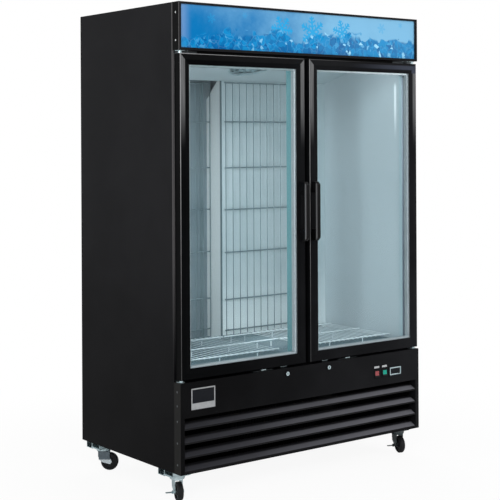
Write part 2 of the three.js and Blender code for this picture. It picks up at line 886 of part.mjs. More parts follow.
function lowerPanel() {
  const top = lowerPanelTop;
  const tray = cut(
    block(-halfWidth, halfWidth, 0, moduleBack, bodyBottom, top),
    block(
      -halfWidth + lowerSheet, halfWidth - lowerSheet,
      lowerSheet, moduleBack + overcut,
      bodyBottom + lowerSheet, top - lowerSheet,
    ),
  );
  const barrelRadius = lockPlugRadius + lockBarrelWall;
  const barrelEnd = lockCamFront - 1;
  const barrels = [-1, 1].map((side) => {
    return rodAlongY(barrelRadius, side * lockFromCentre, -lockProud, barrelEnd, lockAxisHeight);
  });
  const bores = [-1, 1].map((side) => {
    return rodAlongY(
      lockPlugRadius + turnGap, side * lockFromCentre,
      -lockProud - overcut, lockLength + overcut, lockAxisHeight,
    );
  });
  const camSlots = [-1, 1].map((side) => {
    const [from, to] = camSlot(side, top - lowerSheet);
    return block(from, to, lockCamFront - 1, lockLength + 1, top - lowerSheet - overcut, top + overcut);
  });
  const louvreWindow = block(
    -halfWidth + louvreBorderSide, halfWidth - louvreBorderSide,
    -overcut, lowerSheet + overcut,
    bodyBottom + louvreBorderBottom, bodyBottom + louvreBorderBottom + louvreOpeningHeight,
  );
  const caseHalf = controllerWidth / 2 - controllerCaseInset + seatGap;
  const caseHalfHeight = controllerHeight / 2 - controllerCaseInset + seatGap;
  const controllerWindow = block(
    controllerFromCentre - caseHalf, controllerFromCentre + caseHalf,
    -overcut, lowerSheet + overcut,
    bodyBottom + controllerRise - caseHalfHeight, bodyBottom + controllerRise + caseHalfHeight,
  );
  const bare = join(tray, ...barrels, ...switchFromCentre.map(switchHousing));
  return cut(bare, ...bores, ...camSlots, louvreWindow, controllerWindow, ...switchFromCentre.map(switchPocket));
}

// One slat, cut across: a short front lip, then a blade that climbs to the back.
function slatSection(z) {
  const front = louvreSheet / 2;
  const back = front + louvreDepth;
  return [
    [front, z],
    [front + louvreSheet, z],
    [front + louvreSheet, z + louvreLip - louvreSheet / 2],
    [back, z + louvreLip + louvreSlope - louvreSheet],
    [back, z + louvreLip + louvreSlope],
    [front + louvreSheet, z + louvreLip + louvreSheet / 2],
    [front, z + louvreLip - louvreSheet / 2],
  ];
}

function louvreGrille() {
  const half = halfWidth - louvreBorderSide - seatGap;
  const bottom = bodyBottom + louvreBorderBottom + seatGap;
  const top = bottom + louvreOpeningHeight - 2 * seatGap;
  const behind = lowerSheet + seatGap;
  const slats = [];
  for (let i = 0; i < louvreCount; i += 1) {
    slats.push(prismAlongX(slatSection(bottom + 2 + i * louvrePitch), -half, half));
  }
  const ends = [-1, 1].map((side) => prismAlongZ([
    [side * half, behind],
    [side * (half + louvreFlange), behind],
    [side * (half + louvreFlange), behind + louvreSheet],
    [side * half, behind + louvreSheet],
    [side * half, behind + louvreDepth],
    [side * (half - louvreSheet), behind + louvreDepth],
    [side * (half - louvreSheet), behind],
  ], bottom, top));
  return join(...ends, ...slats);
}

// Bare plate with a sunk field over a plain band.
function badgePlate() {
  const x0 = -halfWidth + badgeFromSide;
  const z0 = bodyBottom + badgeRise;
  const plate = block(x0, x0 + badgeWidth, -badgeThickness, -seatGap, z0, z0 + badgeHeight);
  const field = block(
    x0 + badgeBorder, x0 + badgeWidth - badgeBorder,
    -badgeThickness - overcut, -badgeThickness + badgeRecess,
    z0 + badgeBand, z0 + badgeHeight - badgeBorder,
  );
  return cut(plate, field);
}

place('lower_panel', lowerPanel(), 'blackPaint');
place('louvre_grille', louvreGrille(), 'louvrePaint');
place('badge_plate', badgePlate(), 'aluminium');

// ---------- controls ----------

// Rocker seen from its side: two faces that meet at the pivot line, and a rounded back.
function rocker() {
  const half = rockerHeight / 2 - rockerPlay;
  const face = -switchBezelProud - rockerProud - rockerPivotDepth;
  const backFrom = face + rockerPivotDepth;
  const backDepth = 2 * rockerPivotDepth;
  const outline = [[face, half], [face + rockerDip, 0], [face, -half], [backFrom, -half]];
  const steps = 6;
  for (let step = 1; step < steps; step += 1) {
    const angle = (step / steps) * Math.PI;
    outline.push([backFrom + backDepth * Math.sin(angle), -half * Math.cos(angle) * 0.9]);
  }
  outline.push([backFrom, half]);
  return prismAlongX(outline, -rockerWidth / 2, rockerWidth / 2);
}

const keyFront = -controllerProud + controllerWindowDepth - keyProud;

function controllerCase() {
  const x = controllerFromCentre;
  const z = bodyBottom + controllerRise;
  const halfW = controllerWidth / 2;
  const halfH = controllerHeight / 2;
  const bezel = block(x - halfW, x + halfW, -controllerProud, -seatGap, z - halfH, z + halfH);
  const caseBody = block(
    x - halfW + controllerCaseInset, x + halfW - controllerCaseInset,
    -seatGap - weld, controllerCaseDepth,
    z - halfH + controllerCaseInset, z + halfH - controllerCaseInset,
  );
  const window = block(
    x - halfW + controllerBezel, x + halfW - controllerBezel,
    -controllerProud - overcut, -controllerProud + controllerWindowDepth,
    z - halfH + controllerBezel, z + halfH - controllerBezel,
  );
  const sockets = keyCentres().map(([keyX, keyZ]) => {
    const half = keySize / 2 + seatGap;
    const bottom = keyFront + keyLength + keyTravel + seatGap;
    return block(keyX - half, keyX + half, -controllerProud - overcut, bottom, keyZ - half, keyZ + half);
  });
  return cut(join(bezel, caseBody), window, ...sockets);
}

function keyCentres() {
  const x = controllerFromCentre + controllerWidth / 2 - keyFromEdge;
  const z = bodyBottom + controllerRise;
  return [[x, z + keySpacing / 2], [x, z - keySpacing / 2]];
}

function controllerKey([x, z]) {
  const half = keySize / 2;
  return block(x - half, x + half, keyFront, keyFront + keyLength, z - half, z + half);
}

for (const [name, x, finish] of [
  ['lamp_switch', switchFromCentre[0], 'redPlastic'],
  ['power_switch', switchFromCentre[1], 'greenPlastic'],
]) {
  const lever = place(name, rocker(), finish);
  lever.position.set(x, rockerPivotDepth, bodyBottom + switchRise);
  lever.rotation.x = degrees(-rockerThrow);
}
place('controller', controllerCase(), 'blackPlastic');
place('key_up', controllerKey(keyCentres()[0]), 'blackPlastic');
place('key_down', controllerKey(keyCentres()[1]), 'blackPlastic');

// ---------- locks ----------

// Plug with its keyway and the cam that swings up in front of the door's keeper.
function doorLock(side) {
  const x = side * lockFromCentre;
  const z = lockAxisHeight;
  const plug = rodAlongY(lockPlugRadius, x, -lockProud, lockCamFront + weld, z);
  const keyway = block(x - 0.9, x + 0.9, -lockProud - overcut, -lockProud + 5, z - 4.5, z + 4.5);
  const near = x - side * lockCamHalfWidth;
  const far = x + side * lockCamReach;
  const cam = block(
    Math.min(near, far), Math.max(near, far),
    lockCamFront, lockLength,
    z - lockCamHalfWidth, z + lockCamHalfWidth,
  );
  return cut(join(plug, cam), keyway);
}

// Angle under the door, its leg hanging behind the turned cam.
function lockKeeper(side) {
  const x = side * lockFromCentre;
  const front = lockLength + keeperBehindCam;
  const top = doorBottom - seatGap;
  return prismAlongX([
    [front, top],
    [front, lowerPanelTop + keeperAbovePanel],
    [front + keeperSheet, lowerPanelTop + keeperAbovePanel],
    [front + keeperSheet, top - keeperSheet],
    [front + keeperFoot, top - keeperSheet],
    [front + keeperFoot, top],
  ], x - keeperWidth / 2, x + keeperWidth / 2);
}

place('left_lock', doorLock(-1), 'zinc');
place('right_lock', doorLock(1), 'zinc');
place('left_lock_keeper', lockKeeper(-1), 'zinc');
place('right_lock_keeper', lockKeeper(1), 'zinc');

// ---------- base frame and casters ----------

const casterX = halfWidth - casterFromSide;
const frontPinY = casterFrontSetback;
const rearPinY = bodyBack - casterRearInset;
const raceBottom = bodyBottom - railHeight - casterPlateThickness - raceHeight;
const crownTop = raceBottom - seatGap;

// Open channel that hangs from the pan: two sides and a web.
function channelSection(y, width, height, sheet) {
  const half = width / 2;
  const top = bodyBottom + panSheet / 2;
  const bottom = bodyBottom - height;
  return [
    [y - half, top],
    [y - half, bottom],
    [y + half, bottom],
    [y + half, top],
    [y + half - sheet, top],
    [y + half - sheet, bottom + sheet],
    [y - half + sheet, bottom + sheet],
    [y - half + sheet, top],
  ];
}

function baseFrame() {
  const half = panelInside;
  const front = bodyFront + outerSheet + seatGap;
  const back = bodyBack - outerSheet - seatGap;
  const end = halfWidth - railEndInset;
  const pieces = [block(-half, half, front, back, bodyBottom, bodyBottom + panSheet)];
  for (const side of [-1, 1]) {
    const near = side * half;
    const far = side * (half - panSheet);
    pieces.push(block(Math.min(near, far), Math.max(near, far), front, back, bodyBottom, bodyBottom + panEdge));
  }
  for (const y of [frontPinY, rearPinY]) {
    pieces.push(prismAlongX(channelSection(y, railWidth, railHeight, railSheet), -end, end));
    const crossY = y + crossChannelFromPin;
    pieces.push(prismAlongX(
      channelSection(crossY, crossChannelWidth, crossChannelHeight, railSheet), -end, end,
    ));
    for (const side of [-1, 1]) {
      const x = side * casterX;
      const halfLength = casterPlateLength / 2;
      const halfPlate = casterPlateWidth / 2;
      const plateTop = bodyBottom - railHeight;
      pieces.push(block(
        x - halfLength, x + halfLength, y - halfPlate, y + halfPlate,
        plateTop - casterPlateThickness, plateTop + railSheet / 2,
      ));
      pieces.push(rodAlongZ(raceRadius, x, y, raceBottom, plateTop - casterPlateThickness / 2));
    }
  }
  return join(...pieces);
}

place('base_frame', baseFrame(), 'galvanised');

// A caster is made with its kingpin on the local Z axis and its wheel trailing along local +X.
const forkInner = wheelWidth / 2 + forkSideGap;
const forkOuter = forkInner + forkSheet;

// Hull of two circles in (x, z), walked round counter-clockwise.
function taperedLink(x0, z0, r0, x1, z1, r1, steps = 5) {
  const distance = Math.hypot(x1 - x0, z1 - z0);
  const heading = Math.atan2(z1 - z0, x1 - x0);
  const spread = Math.acos((r0 - r1) / distance);
  const points = [];
  for (let i = 0; i <= steps; i += 1) {
    const angle = heading - spread + (2 * spread * i) / steps;
    points.push([x1 + r1 * Math.cos(angle), z1 + r1 * Math.sin(angle)]);
  }
  for (let i = 0; i <= steps; i += 1) {
    const angle = heading + spread + ((2 * Math.PI - 2 * spread) * i) / steps;
    points.push([x0 + r0 * Math.cos(angle), z0 + r0 * Math.sin(angle)]);
  }
  return points;
}

function casterFork() {
  const crownBottom = crownTop - forkCrownThickness;
  const crown = rodAlongZ(forkCrownRadius, 0, 0, crownBottom, crownTop);
  const bridgeBottom = crownBottom - forkBridge;
  const bridge = block(
    -forkCrownRadius * 0.8, forkCrownRadius * 0.9, -forkOuter, forkOuter, bridgeBottom, crownBottom + weld,
  );
  const topRadius = forkCrownRadius * 0.8;
  const leg = taperedLink(0, bridgeBottom - topRadius + forkBridge, topRadius, casterTrail, wheelRadius, forkToeRadius);
  const shoulder = [
    [-topRadius, bridgeBottom - topRadius + forkBridge],
    [forkCrownRadius * 0.9, bridgeBottom - topRadius + forkBridge],
    [forkCrownRadius * 0.9, crownBottom],
    [-topRadius, crownBottom],
  ];
  const legs = [-1, 1].flatMap((side) => {
    const from = side > 0 ? forkInner : -forkOuter;
    return [prismAlongY(leg, from, from + forkSheet), prismAlongY(shoulder, from, from + forkSheet)];
  });
  const axle = rodAlongY(axleRadius, casterTrail, -forkOuter - axleNutHeight, forkOuter + axleNutHeight, wheelRadius, 16);
  const nut = rodAlongY(axleNutRadius, casterTrail, forkOuter - weld, forkOuter + axleNutHeight, wheelRadius, 6);
  return join(crown, bridge, ...legs, axle, nut);
}

function casterWheel() {
  const half = wheelWidth / 2;
  const web = wheelWebWidth / 2;
  const bore = axleRadius + turnGap;
  const profile = [
    [bore, -half],
    [wheelHubRadius, -half],
    [wheelHubRadius + 1, -web],
    [wheelRadius - 11, -web],
    [wheelRadius - 10, -half],
    [wheelRadius - wheelEdge, -half],
    [wheelRadius, -half + wheelEdge],
    [wheelRadius, half - wheelEdge],
    [wheelRadius - wheelEdge, half],
    [wheelRadius - 10, half],
    [wheelRadius - 11, web],
    [wheelHubRadius + 1, web],
    [wheelHubRadius, half],
    [bore, half],
    [bore, -half],
  ];
  return turned(profile, 24).rotateX(Math.PI / 2).translate(casterTrail, 0, wheelRadius);
}

// Side brake: an eye on the axle, an arm and a foot tab bent outwards.
function brakeLever() {
  const inner = -forkOuter - seatGap;
  const outer = inner - brakeSheet;
  const tipX = casterTrail - brakeArm;
  const tipZ = wheelRadius - brakeDrop;
  const arm = prismAlongY(
    taperedLink(casterTrail, wheelRadius, brakeEyeRadius, tipX, tipZ, brakeTabWidth / 2), outer, inner,
  );
  const tab = block(
    tipX - brakeTabWidth / 2, tipX + brakeTabWidth / 2,
    outer - brakeTabLength, outer + weld,
    tipZ - brakeSheet / 2, tipZ + brakeSheet / 2,
  );
  const eye = rodAlongY(axleRadius + turnGap, casterTrail, outer - overcut, inner + overcut, wheelRadius, 16);
  return cut(join(arm, tab), eye);
}

for (const [label, side, pinY, heading, braked] of [
  ['front_left', -1, frontPinY, frontHeading, true],
  ['front_right', 1, frontPinY, frontHeading, true],
  ['rear_left', -1, rearPinY, rearLeftHeading, false],
  ['rear_right', 1, rearPinY, rearRightHeading, false],
]) {
  const caster = new THREE.Group();
  caster.position.set(side * casterX, pinY, 0);
  caster.rotation.z = degrees(heading);
  place(`${label}_fork`, casterFork(), 'zinc', caster);
  place(`${label}_wheel`, casterWheel(), 'rubber', caster);
  if (braked) place(`${label}_brake`, brakeLever(), 'zinc', caster);
  freezer.add(caster);
}

// ---------- evaporator ----------

const coverHeightAt = (y) => coverRearHeight + (coverRearSetback - y) * coverPitch;

// Folded sheet under the ceiling: a front wall and a sloping underside with the fan's hole.
function evaporatorCover() {
  const rear = coverRearSetback - seatGap;
  const front = coverFrontSetback;
  const rise = coverSheet / Math.cos(coverSlope);
  const half = innerHalfWidth - seatGap;
  const outline = [
    [front, innerCeiling - seatGap],
    [front, coverHeightAt(front)],
    [rear, coverHeightAt(rear)],
    [rear, coverHeightAt(rear) + rise],
    [front + coverSheet, coverHeightAt(front + coverSheet) + rise],
    [front + coverSheet, innerCeiling - seatGap],
  ];
  const hole = rodAlongZ(fanHoleRadius, 0, 0, -coverHoleCutter / 2, coverHoleCutter / 2, 32);
  hole.rotateX(-coverSlope).translate(0, fanSetback, coverHeightAt(fanSetback));
  return cut(prismAlongX(outline, -half, half), hole);
}

// The fan is made with its axis on local Z, the cover's underside at z = 0 and the air above it.
const evaporatorFan = new THREE.Group();
evaporatorFan.position.set(0, fanSetback, coverHeightAt(fanSetback));
evaporatorFan.rotation.x = -coverSlope;
freezer.add(evaporatorFan);

function wireRing(radius, z) {
  const section = [];
  for (let i = 0; i <= 4; i += 1) {
    const angle = (i / 4) * 2 * Math.PI;
    section.push([radius + guardWire * Math.cos(angle), z + guardWire * Math.sin(angle)]);
  }
  return turned(section, 20);
}

// Wire guard under the cover, with the posts and the motor that it carries.
function fanGuard() {
  const ringZ = -seatGap - guardWire;
  const spokeZ = ringZ - guardWire;
  const outer = Math.max(...guardRingRadii);
  const post = fanHoleRadius - 6;
  const pieces = guardRingRadii.map((radius) => wireRing(radius, ringZ));
  for (let i = 0; i < guardSpokes; i += 1) {
    const angle = (i / guardSpokes) * Math.PI;
    pieces.push(wireX(guardWire, -outer, outer, 0, spokeZ).rotateZ(angle));
  }
  for (let i = 0; i < 4; i += 1) {
    const angle = ((i + 0.5) / 4) * 2 * Math.PI;
    const armZ = fanMotorRise + fanPostRadius;
    pieces.push(wireZ(fanPostRadius, post, 0, spokeZ, armZ + fanPostRadius).rotateZ(angle));
    pieces.push(wireX(fanPostRadius, fanMotorRadius - 4, post + fanPostRadius, 0, armZ).rotateZ(angle));
  }
  pieces.push(turned([
    [0, fanMotorRise],
    [fanMotorRadius - 4, fanMotorRise],
    [fanMotorRadius, fanMotorRise + 4],
    [fanMotorRadius, fanMotorRise + fanMotorHeight - 6],
    [fanMotorRadius - 8, fanMotorRise + fanMotorHeight],
    [0, fanMotorRise + fanMotorHeight],
  ]));
  return join(...pieces);
}

// A hub with pitched blades that sweep forward as they widen.
function fanBlades(hubRadius, hubHeight, tipRadius, base, count) {
  const middle = base + hubHeight / 2;
  const hub = rodAlongZ(hubRadius, 0, 0, base, base + hubHeight);
  const blades = [];
  const sweep = [];
  const spans = 5;
  for (let i = 0; i <= spans; i += 1) {
    const radius = hubRadius - bladeRoot + ((tipRadius - hubRadius + bladeRoot) * i) / spans;
    sweep.push({ radius, lead: degrees(24 + 10 * (i / spans)), trail: degrees(-22 - 6 * (i / spans)) });
  }
  for (let i = 0; i < count; i += 1) {
    const outline = sweep.map(({ radius, lead }) => [radius * Math.cos(lead), radius * Math.sin(lead)]);
    for (const { radius, trail } of [...sweep].reverse()) {
      outline.push([radius * Math.cos(trail), radius * Math.sin(trail)]);
    }
    const blade = prismAlongZ(outline, -bladeSheet / 2, bladeSheet / 2).rotateX(degrees(fanBladePitch * 0.6));
    blades.push(blade.translate(0, 0, middle).rotateZ((i / count) * 2 * Math.PI));
  }
  return join(hub, ...blades);
}

// Fin block with an open comb of fins in front and behind, hung from the ceiling by its end plates.
function evaporatorCoil() {
  const back = coverRearSetback - coilRearGap;
  const front = fanSetback + fanBladeRadius + coilFanGap;
  const bottom = coverHeightAt(front) + coverSheet + coilCoverGap;
  const top = innerCeiling - seatGap;
  const middle = (bottom + top) / 2;
  const pitch = (2 * coilHalfWidth) / coilFinCount;
  const grooves = [];
  for (let i = 0; i < coilFinCount; i += 1) {
    const from = -coilHalfWidth + (i + (1 - coilFinGapShare)) * pitch;
    for (const [low, high] of [[bottom - overcut, middle - coilSpine / 2], [middle + coilSpine / 2, top + overcut]]) {
      if (i < coilFinCount - 1) {
        grooves.push(block(from, from + coilFinGapShare * pitch, front - overcut, back + overcut, low, high));
      }
    }
  }
  return cut(block(-coilHalfWidth, coilHalfWidth, front, back, bottom, top), ...grooves);
}

place('evaporator_cover', evaporatorCover(), 'whiteLiner');
place('evaporator_fan_guard', fanGuard(), 'steel', evaporatorFan);
place(
  'evaporator_fan_blades',
  fanBlades(fanHubRadius, fanMotorRise - seatGap - fanBladeRise, fanBladeRadius, fanBladeRise, fanBladeCount),
  'aluminium',
  evaporatorFan,
);
place('evaporator_coil', evaporatorCoil(), 'aluminium');

// ---------- air duct and wire guards ----------

const ductRight = innerHalfWidth - seatGap;
const ductTop = coverRearHeight + ductLapAboveCover;

// Duct that brings the cold air down the back wall and lets it out under its front sheet.
function airDuct() {
  const back = innerBack - seatGap;
  const floor = innerFloor + seatGap;
  const faceBottom = innerFloor + ductFaceRise;
  const face = block(ductLeft, ductRight, ductFront, ductFront + ductSheet, faceBottom, ductTop);
  const sideOutline = [
    [ductFront, floor],
    [back, floor],
    [back, coverRearHeight - ductRearNotch],
    [ductFront + ductSheet + ductFlange, ductTop],
    [ductFront, ductTop],
  ];
  const sidePlate = prismAlongX(sideOutline, ductLeft, ductLeft + ductSheet);
  const backFlange = block(
    ductLeft, ductLeft + ductFlange, back - ductSheet, back, floor, coverRearHeight - ductRearNotch,
  );
  const rightFlange = block(
    ductRight - ductSheet, ductRight, ductFront, ductFront + ductFlange, floor, ductTop,
  );
  return join(face, sidePlate, backFlange, rightFlange);
}

const guardBottom = innerFloor + guardBottomRise;
const guardTop = coverRearHeight - guardTopGap;
const guardRailHeights = guardRailShares.map((share) => guardBottom + share * (guardTop - guardBottom));

// Upright wires on rails, held off the wall behind by short feet.
function wireGuard(x0, x1, wireCentreY, wallY, extras = []) {
  const railY = wireCentreY + guardWireRadius + guardRailRadius - wireWeld;
  const overhang = guardRailRadius + 1;
  const pieces = [];
  const pitches = Math.round((x1 - x0) / guardWirePitch);
  for (let i = 0; i <= pitches; i += 1) {
    const x = x0 + ((x1 - x0) * i) / pitches;
    pieces.push(wireZ(guardWireRadius, x, wireCentreY, guardBottom - overhang, guardTop + overhang));
  }
  for (const z of guardRailHeights) {
    pieces.push(wireX(guardRailRadius, x0 - overhang, x1 + overhang, railY, z));
  }
  for (const rail of guardFootedRails) {
    for (const x of [x0 + guardWirePitch / 2, x1 - guardWirePitch / 2]) {
      pieces.push(wireY(guardRailRadius, x, railY, wallY - seatGap, guardRailHeights[rail]));
    }
  }
  return join(...pieces, ...extras);
}

// Flat bar on the back wall that the left guard's inner feet are welded to.
function pilaster() {
  const middle = ductLeft - pilasterFromDuct;
  const back = innerBack - seatGap;
  return block(
    middle - pilasterWidth / 2, middle + pilasterWidth / 2,
    back - pilasterThickness, back,
    innerFloor + seatGap, guardTop + guardTopGap,
  );
}

const backGuardRight = ductLeft - pilasterFromDuct + guardWirePitch / 2;

place('air_duct', airDuct(), 'whiteLiner');
place(
  'duct_guard',
  wireGuard(ductLeft + guardSideGap, ductRight - guardRightGap, ductFront - guardStandOff, ductFront),
  'whiteWire',
);
place(
  'back_guard',
  wireGuard(-innerHalfWidth + guardSideGap, backGuardRight, innerBack - backGuardStandOff, innerBack, [pilaster()]),
  'whiteWire',
);

// ---------- floor racks ----------

// Wires that run from front to back over a few cross bars on legs.
function floorRack(side) {
  const inner = side * rackFromMiddle;
  const outer = side * (innerHalfWidth - rackSideGap);
  const x0 = Math.min(inner, outer);
  const x1 = Math.max(inner, outer);
  const front = frameBack + rackFrontGap;
  const rear = ductFront - rackRearGap - rackRearOverhang;
  const barZ = innerFloor + rackRise - rackBarRadius;
  const wireLevel = barZ - rackBarRadius - rackWireRadius + wireWeld;
  const pieces = [];
  const count = Math.round((x1 - x0) / rackWirePitch);
  for (let i = 0; i <= count; i += 1) {
    const x = x0 + ((x1 - x0) * i) / count;
    pieces.push(wireY(rackWireRadius, x, front - rackOverhang, rear + rackRearOverhang, wireLevel));
  }
  for (let i = 0; i < rackBarCount; i += 1) {
    const y = front + ((rear - front) * i) / (rackBarCount - 1);
    pieces.push(wireX(rackBarRadius, x0 - rackOverhang, x1 + rackOverhang, y, barZ));
    for (let leg = 0; leg < rackLegCount; leg += 1) {
      const x = inner + side * (rackLegFromEnd + leg * rackLegPitch);
      pieces.push(wireZ(rackBarRadius, x, y, innerFloor + seatGap, barZ));
    }
  }
  return join(...pieces);
}

place('left_floor_rack', floorRack(-1), 'whiteWire');
place('right_floor_rack', floorRack(1), 'whiteWire');

// ---------- condensing unit ----------

const panTop = bodyBottom + panSheet + seatGap;
const condenserLeft = -halfWidth + condenserFromSide;
const condenserMiddleX = condenserLeft + condenserWidth / 2;
const condenserMiddleZ = panTop + condenserHeight / 2;
const condenserBack = condenserSetback + condenserDepth;

function condenserCoil() {
  const right = condenserLeft + condenserWidth;
  const top = panTop + condenserHeight;
  const pitch = condenserWidth / condenserFinCount;
  const middle = (condenserSetback + condenserBack) / 2;
  const grooves = [];
  for (let i = 0; i < condenserFinCount - 1; i += 1) {
    const from = condenserLeft + (i + 1 - condenserHeaderGap / 2) * pitch;
    const to = from + condenserHeaderGap * pitch;
    grooves.push(block(
      from, to,
      condenserSetback - overcut, middle - condenserSpine / 2,
      panTop + condenserFrameEdge, top - condenserFrameEdge,
    ));
  }
  return cut(block(condenserLeft, right, condenserSetback, condenserBack, panTop, top), ...grooves);
}

// Sheet box behind the coil, with the fan's ring and the arms that hold the motor.
function condenserShroud() {
  const front = condenserBack + seatGap;
  const back = front + shroudDepth;
  const right = condenserLeft + condenserWidth;
  const top = panTop + condenserHeight;
  const box = cut(
    block(condenserLeft, right, front, back, panTop, top),
    block(
      condenserLeft + shroudSheet, right - shroudSheet,
      front - overcut, back - shroudSheet,
      panTop + shroudSheet, top - shroudSheet,
    ),
    rodAlongY(condenserFanRadius + condenserFanGap, condenserMiddleX, front, back + overcut, condenserMiddleZ, 32),
  );
  const motorFront = back + condenserHubHeight;
  const armFront = motorFront + condenserArmFromHub;
  const motor = rodAlongY(
    condenserMotorRadius, condenserMiddleX, motorFront, motorFront + condenserMotorLength, condenserMiddleZ,
  );
  const reach = condenserFanRadius + condenserFanGap + condenserArm;
  const arms = [-1, 1].flatMap((side) => {
    const x = condenserMiddleX + side * reach;
    const bar = block(
      Math.min(x, condenserMiddleX), Math.max(x, condenserMiddleX),
      armFront, armFront + condenserArm,
      condenserMiddleZ - condenserArm, condenserMiddleZ + condenserArm,
    );
    const foot = block(
      x - condenserArm / 2, x + condenserArm / 2,
      back - shroudSheet / 2, armFront + condenserArm,
      condenserMiddleZ - condenserArm, condenserMiddleZ + condenserArm,
    );
    return [bar, foot];
  });
  return join(box, motor, ...arms);
}

function compressor() {
  const radius = compressorRadius;
  const height = compressorHeight;
  const dome = turned([
    [0, compressorFoot],
    [radius * 0.84, compressorFoot],
    [radius, height * 0.12],
    [radius, height * 0.45],
    [radius * 1.04, height * 0.47],
    [radius * 1.04, height * 0.52],
    [radius * 0.98, height * 0.54],
    [radius * 0.91, height * 0.8],
    [radius * 0.66, height * 0.95],
    [0, height],
  ], 24);
  const half = compressorFootSize / 2;
  const foot = block(-half, half, -radius * 0.5, radius * 0.5, 0, compressorFoot + weld);
  return join(dome, foot);
}

place('condenser_coil', condenserCoil(), 'aluminium');
place('condenser_shroud', condenserShroud(), 'galvanised');
const condenserFan = place(
  'condenser_fan_blades',
  fanBlades(condenserHubRadius, condenserHubHeight, condenserFanRadius, 0, 5),
  'aluminium',
);
condenserFan.rotation.x = -Math.PI / 2;
condenserFan.position.set(condenserMiddleX, condenserBack + shroudDepth, condenserMiddleZ);
const motorCompressor = place('compressor', compressor(), 'compressorPaint');
motorCompressor.position.set(halfWidth - compressorFromSide, compressorSetback, panTop);

// ---------- origin under the middle of the appliance ----------
freezer.position.y = -(bodyBack - handleReach) / 2;

export default freezer;
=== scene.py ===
"""Finish, small parts, light and camera for a two-door ice merchandiser freezer.

Metres, in the model's own frame: X to the right of someone facing the doors, Y to the back, Z up.
"""

import math

import bmesh
import bpy
from mathutils import Matrix, Vector


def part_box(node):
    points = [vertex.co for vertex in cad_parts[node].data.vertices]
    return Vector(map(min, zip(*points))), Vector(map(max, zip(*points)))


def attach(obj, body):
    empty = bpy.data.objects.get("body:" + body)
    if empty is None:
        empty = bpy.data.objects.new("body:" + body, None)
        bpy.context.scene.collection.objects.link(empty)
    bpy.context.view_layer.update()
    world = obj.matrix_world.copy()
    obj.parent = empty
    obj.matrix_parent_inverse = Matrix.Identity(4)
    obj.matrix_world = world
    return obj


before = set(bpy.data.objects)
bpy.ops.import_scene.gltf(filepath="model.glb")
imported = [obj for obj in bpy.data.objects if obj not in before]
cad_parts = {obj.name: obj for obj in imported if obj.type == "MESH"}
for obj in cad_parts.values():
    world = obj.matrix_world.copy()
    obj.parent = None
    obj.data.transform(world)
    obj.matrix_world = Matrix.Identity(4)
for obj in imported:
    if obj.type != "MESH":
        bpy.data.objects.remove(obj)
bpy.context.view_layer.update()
scene = bpy.context.scene
MM = 0.001
SIDES = ("left", "right")

# ---- places read from the frame
HEADER_LOW, HEADER_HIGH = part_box("header_box")
PANEL_LOW, PANEL_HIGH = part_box("lower_panel")
SIGN_LOW, SIGN_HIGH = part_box("sign_panel")
BACK_LOW, BACK_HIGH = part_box("back_panel")
LINER_LOW, LINER_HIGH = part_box("inner_liner")
GASKET_LOW, GASKET_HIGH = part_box("right_door_gasket")
RACK_LOW, RACK_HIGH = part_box("left_floor_rack")
DUCT_LOW, DUCT_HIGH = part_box("air_duct")
FACE_Y = HEADER_LOW.y  # front face of header, doors and lower panel
BODY_FRONT_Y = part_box("left_side_panel")[0].y
HALF_WIDTH = HEADER_HIGH.x
DOOR_FACE = 47 * MM  # width of the door profile
DOOR_FLAT = 25 * MM  # outer part of the door profile, before it dips to the glass
GASKET_WIDTH = 12 * MM

# ---- colours, linear; a pair is the two ends of a mottled surface
WHITE = (1.0, 1.0, 1.0)
BLACK_PAINT = ((0.0062, 0.0064, 0.0074), (0.0092, 0.0094, 0.0108))
# painted light: the black paint as lit on the lower panel's side returns
RETURN_LIT = ((0.0120, 0.0120, 0.0118), (0.0150, 0.0150, 0.0146))
# door paint: painted shade on the left door, painted light on the right one
DOOR_SHADE_LEFT = ((0.0004, 0.0006, 0.0008), (0.0010, 0.0012, 0.0016))
DOOR_LIT_RIGHT = ((0.0060, 0.0062, 0.0072), (0.0100, 0.0104, 0.0118))
# painted highlights on the door frames: on the flats of the stiles, on the top rail, along the top and on
# the corners
DOOR_HIGHLIGHT = (0.150, 0.152, 0.156)
DOOR_CORNER_HIGHLIGHT = (0.300, 0.300, 0.306)
DOOR_RAIL_HIGHLIGHT = (0.040, 0.046, 0.064)
# side paint: painted shade towards the floor, and a painted highlight on the fold at the front
SIDE_SHADE_LOW = ((0.0022, 0.0022, 0.0026), (0.0038, 0.0038, 0.0044))
SIDE_LIT_HIGH = ((0.0098, 0.0100, 0.0112), (0.0126, 0.0128, 0.0142))
FOLD_HIGHLIGHT = (0.080, 0.078, 0.080)
# near black for painted shade inside the base and on the lower panel's left, and for holes
SHADE_AND_HOLE_BLACK = ((0.0015, 0.0015, 0.0018), (0.0030, 0.0030, 0.0034))
HOLE_BLACK = SHADE_AND_HOLE_BLACK[0]
PLASTIC_BLACK = (0.0045, 0.0045, 0.0050)
PLASTIC = (PLASTIC_BLACK, BLACK_PAINT[0])
RUBBER = ((0.0085, 0.0085, 0.0090), BLACK_PAINT[1])
HANDLE = (HOLE_BLACK, PLASTIC_BLACK)
HANDLE_EDGE_HIGHLIGHT = (0.085, 0.085, 0.088)
# louvre slats: painted shade on the lips, painted light on the blades growing towards the right
LOUVRE_SHADE = (0.0060, 0.0060, 0.0070)
BLADE_LIGHT_LEFT = (0.0310, 0.0315, 0.0370)
BLADE_LIGHT_RIGHT = (0.1550, 0.1560, 0.1760)
ZINC = ((0.34, 0.43, 0.46), (0.58, 0.70, 0.73))
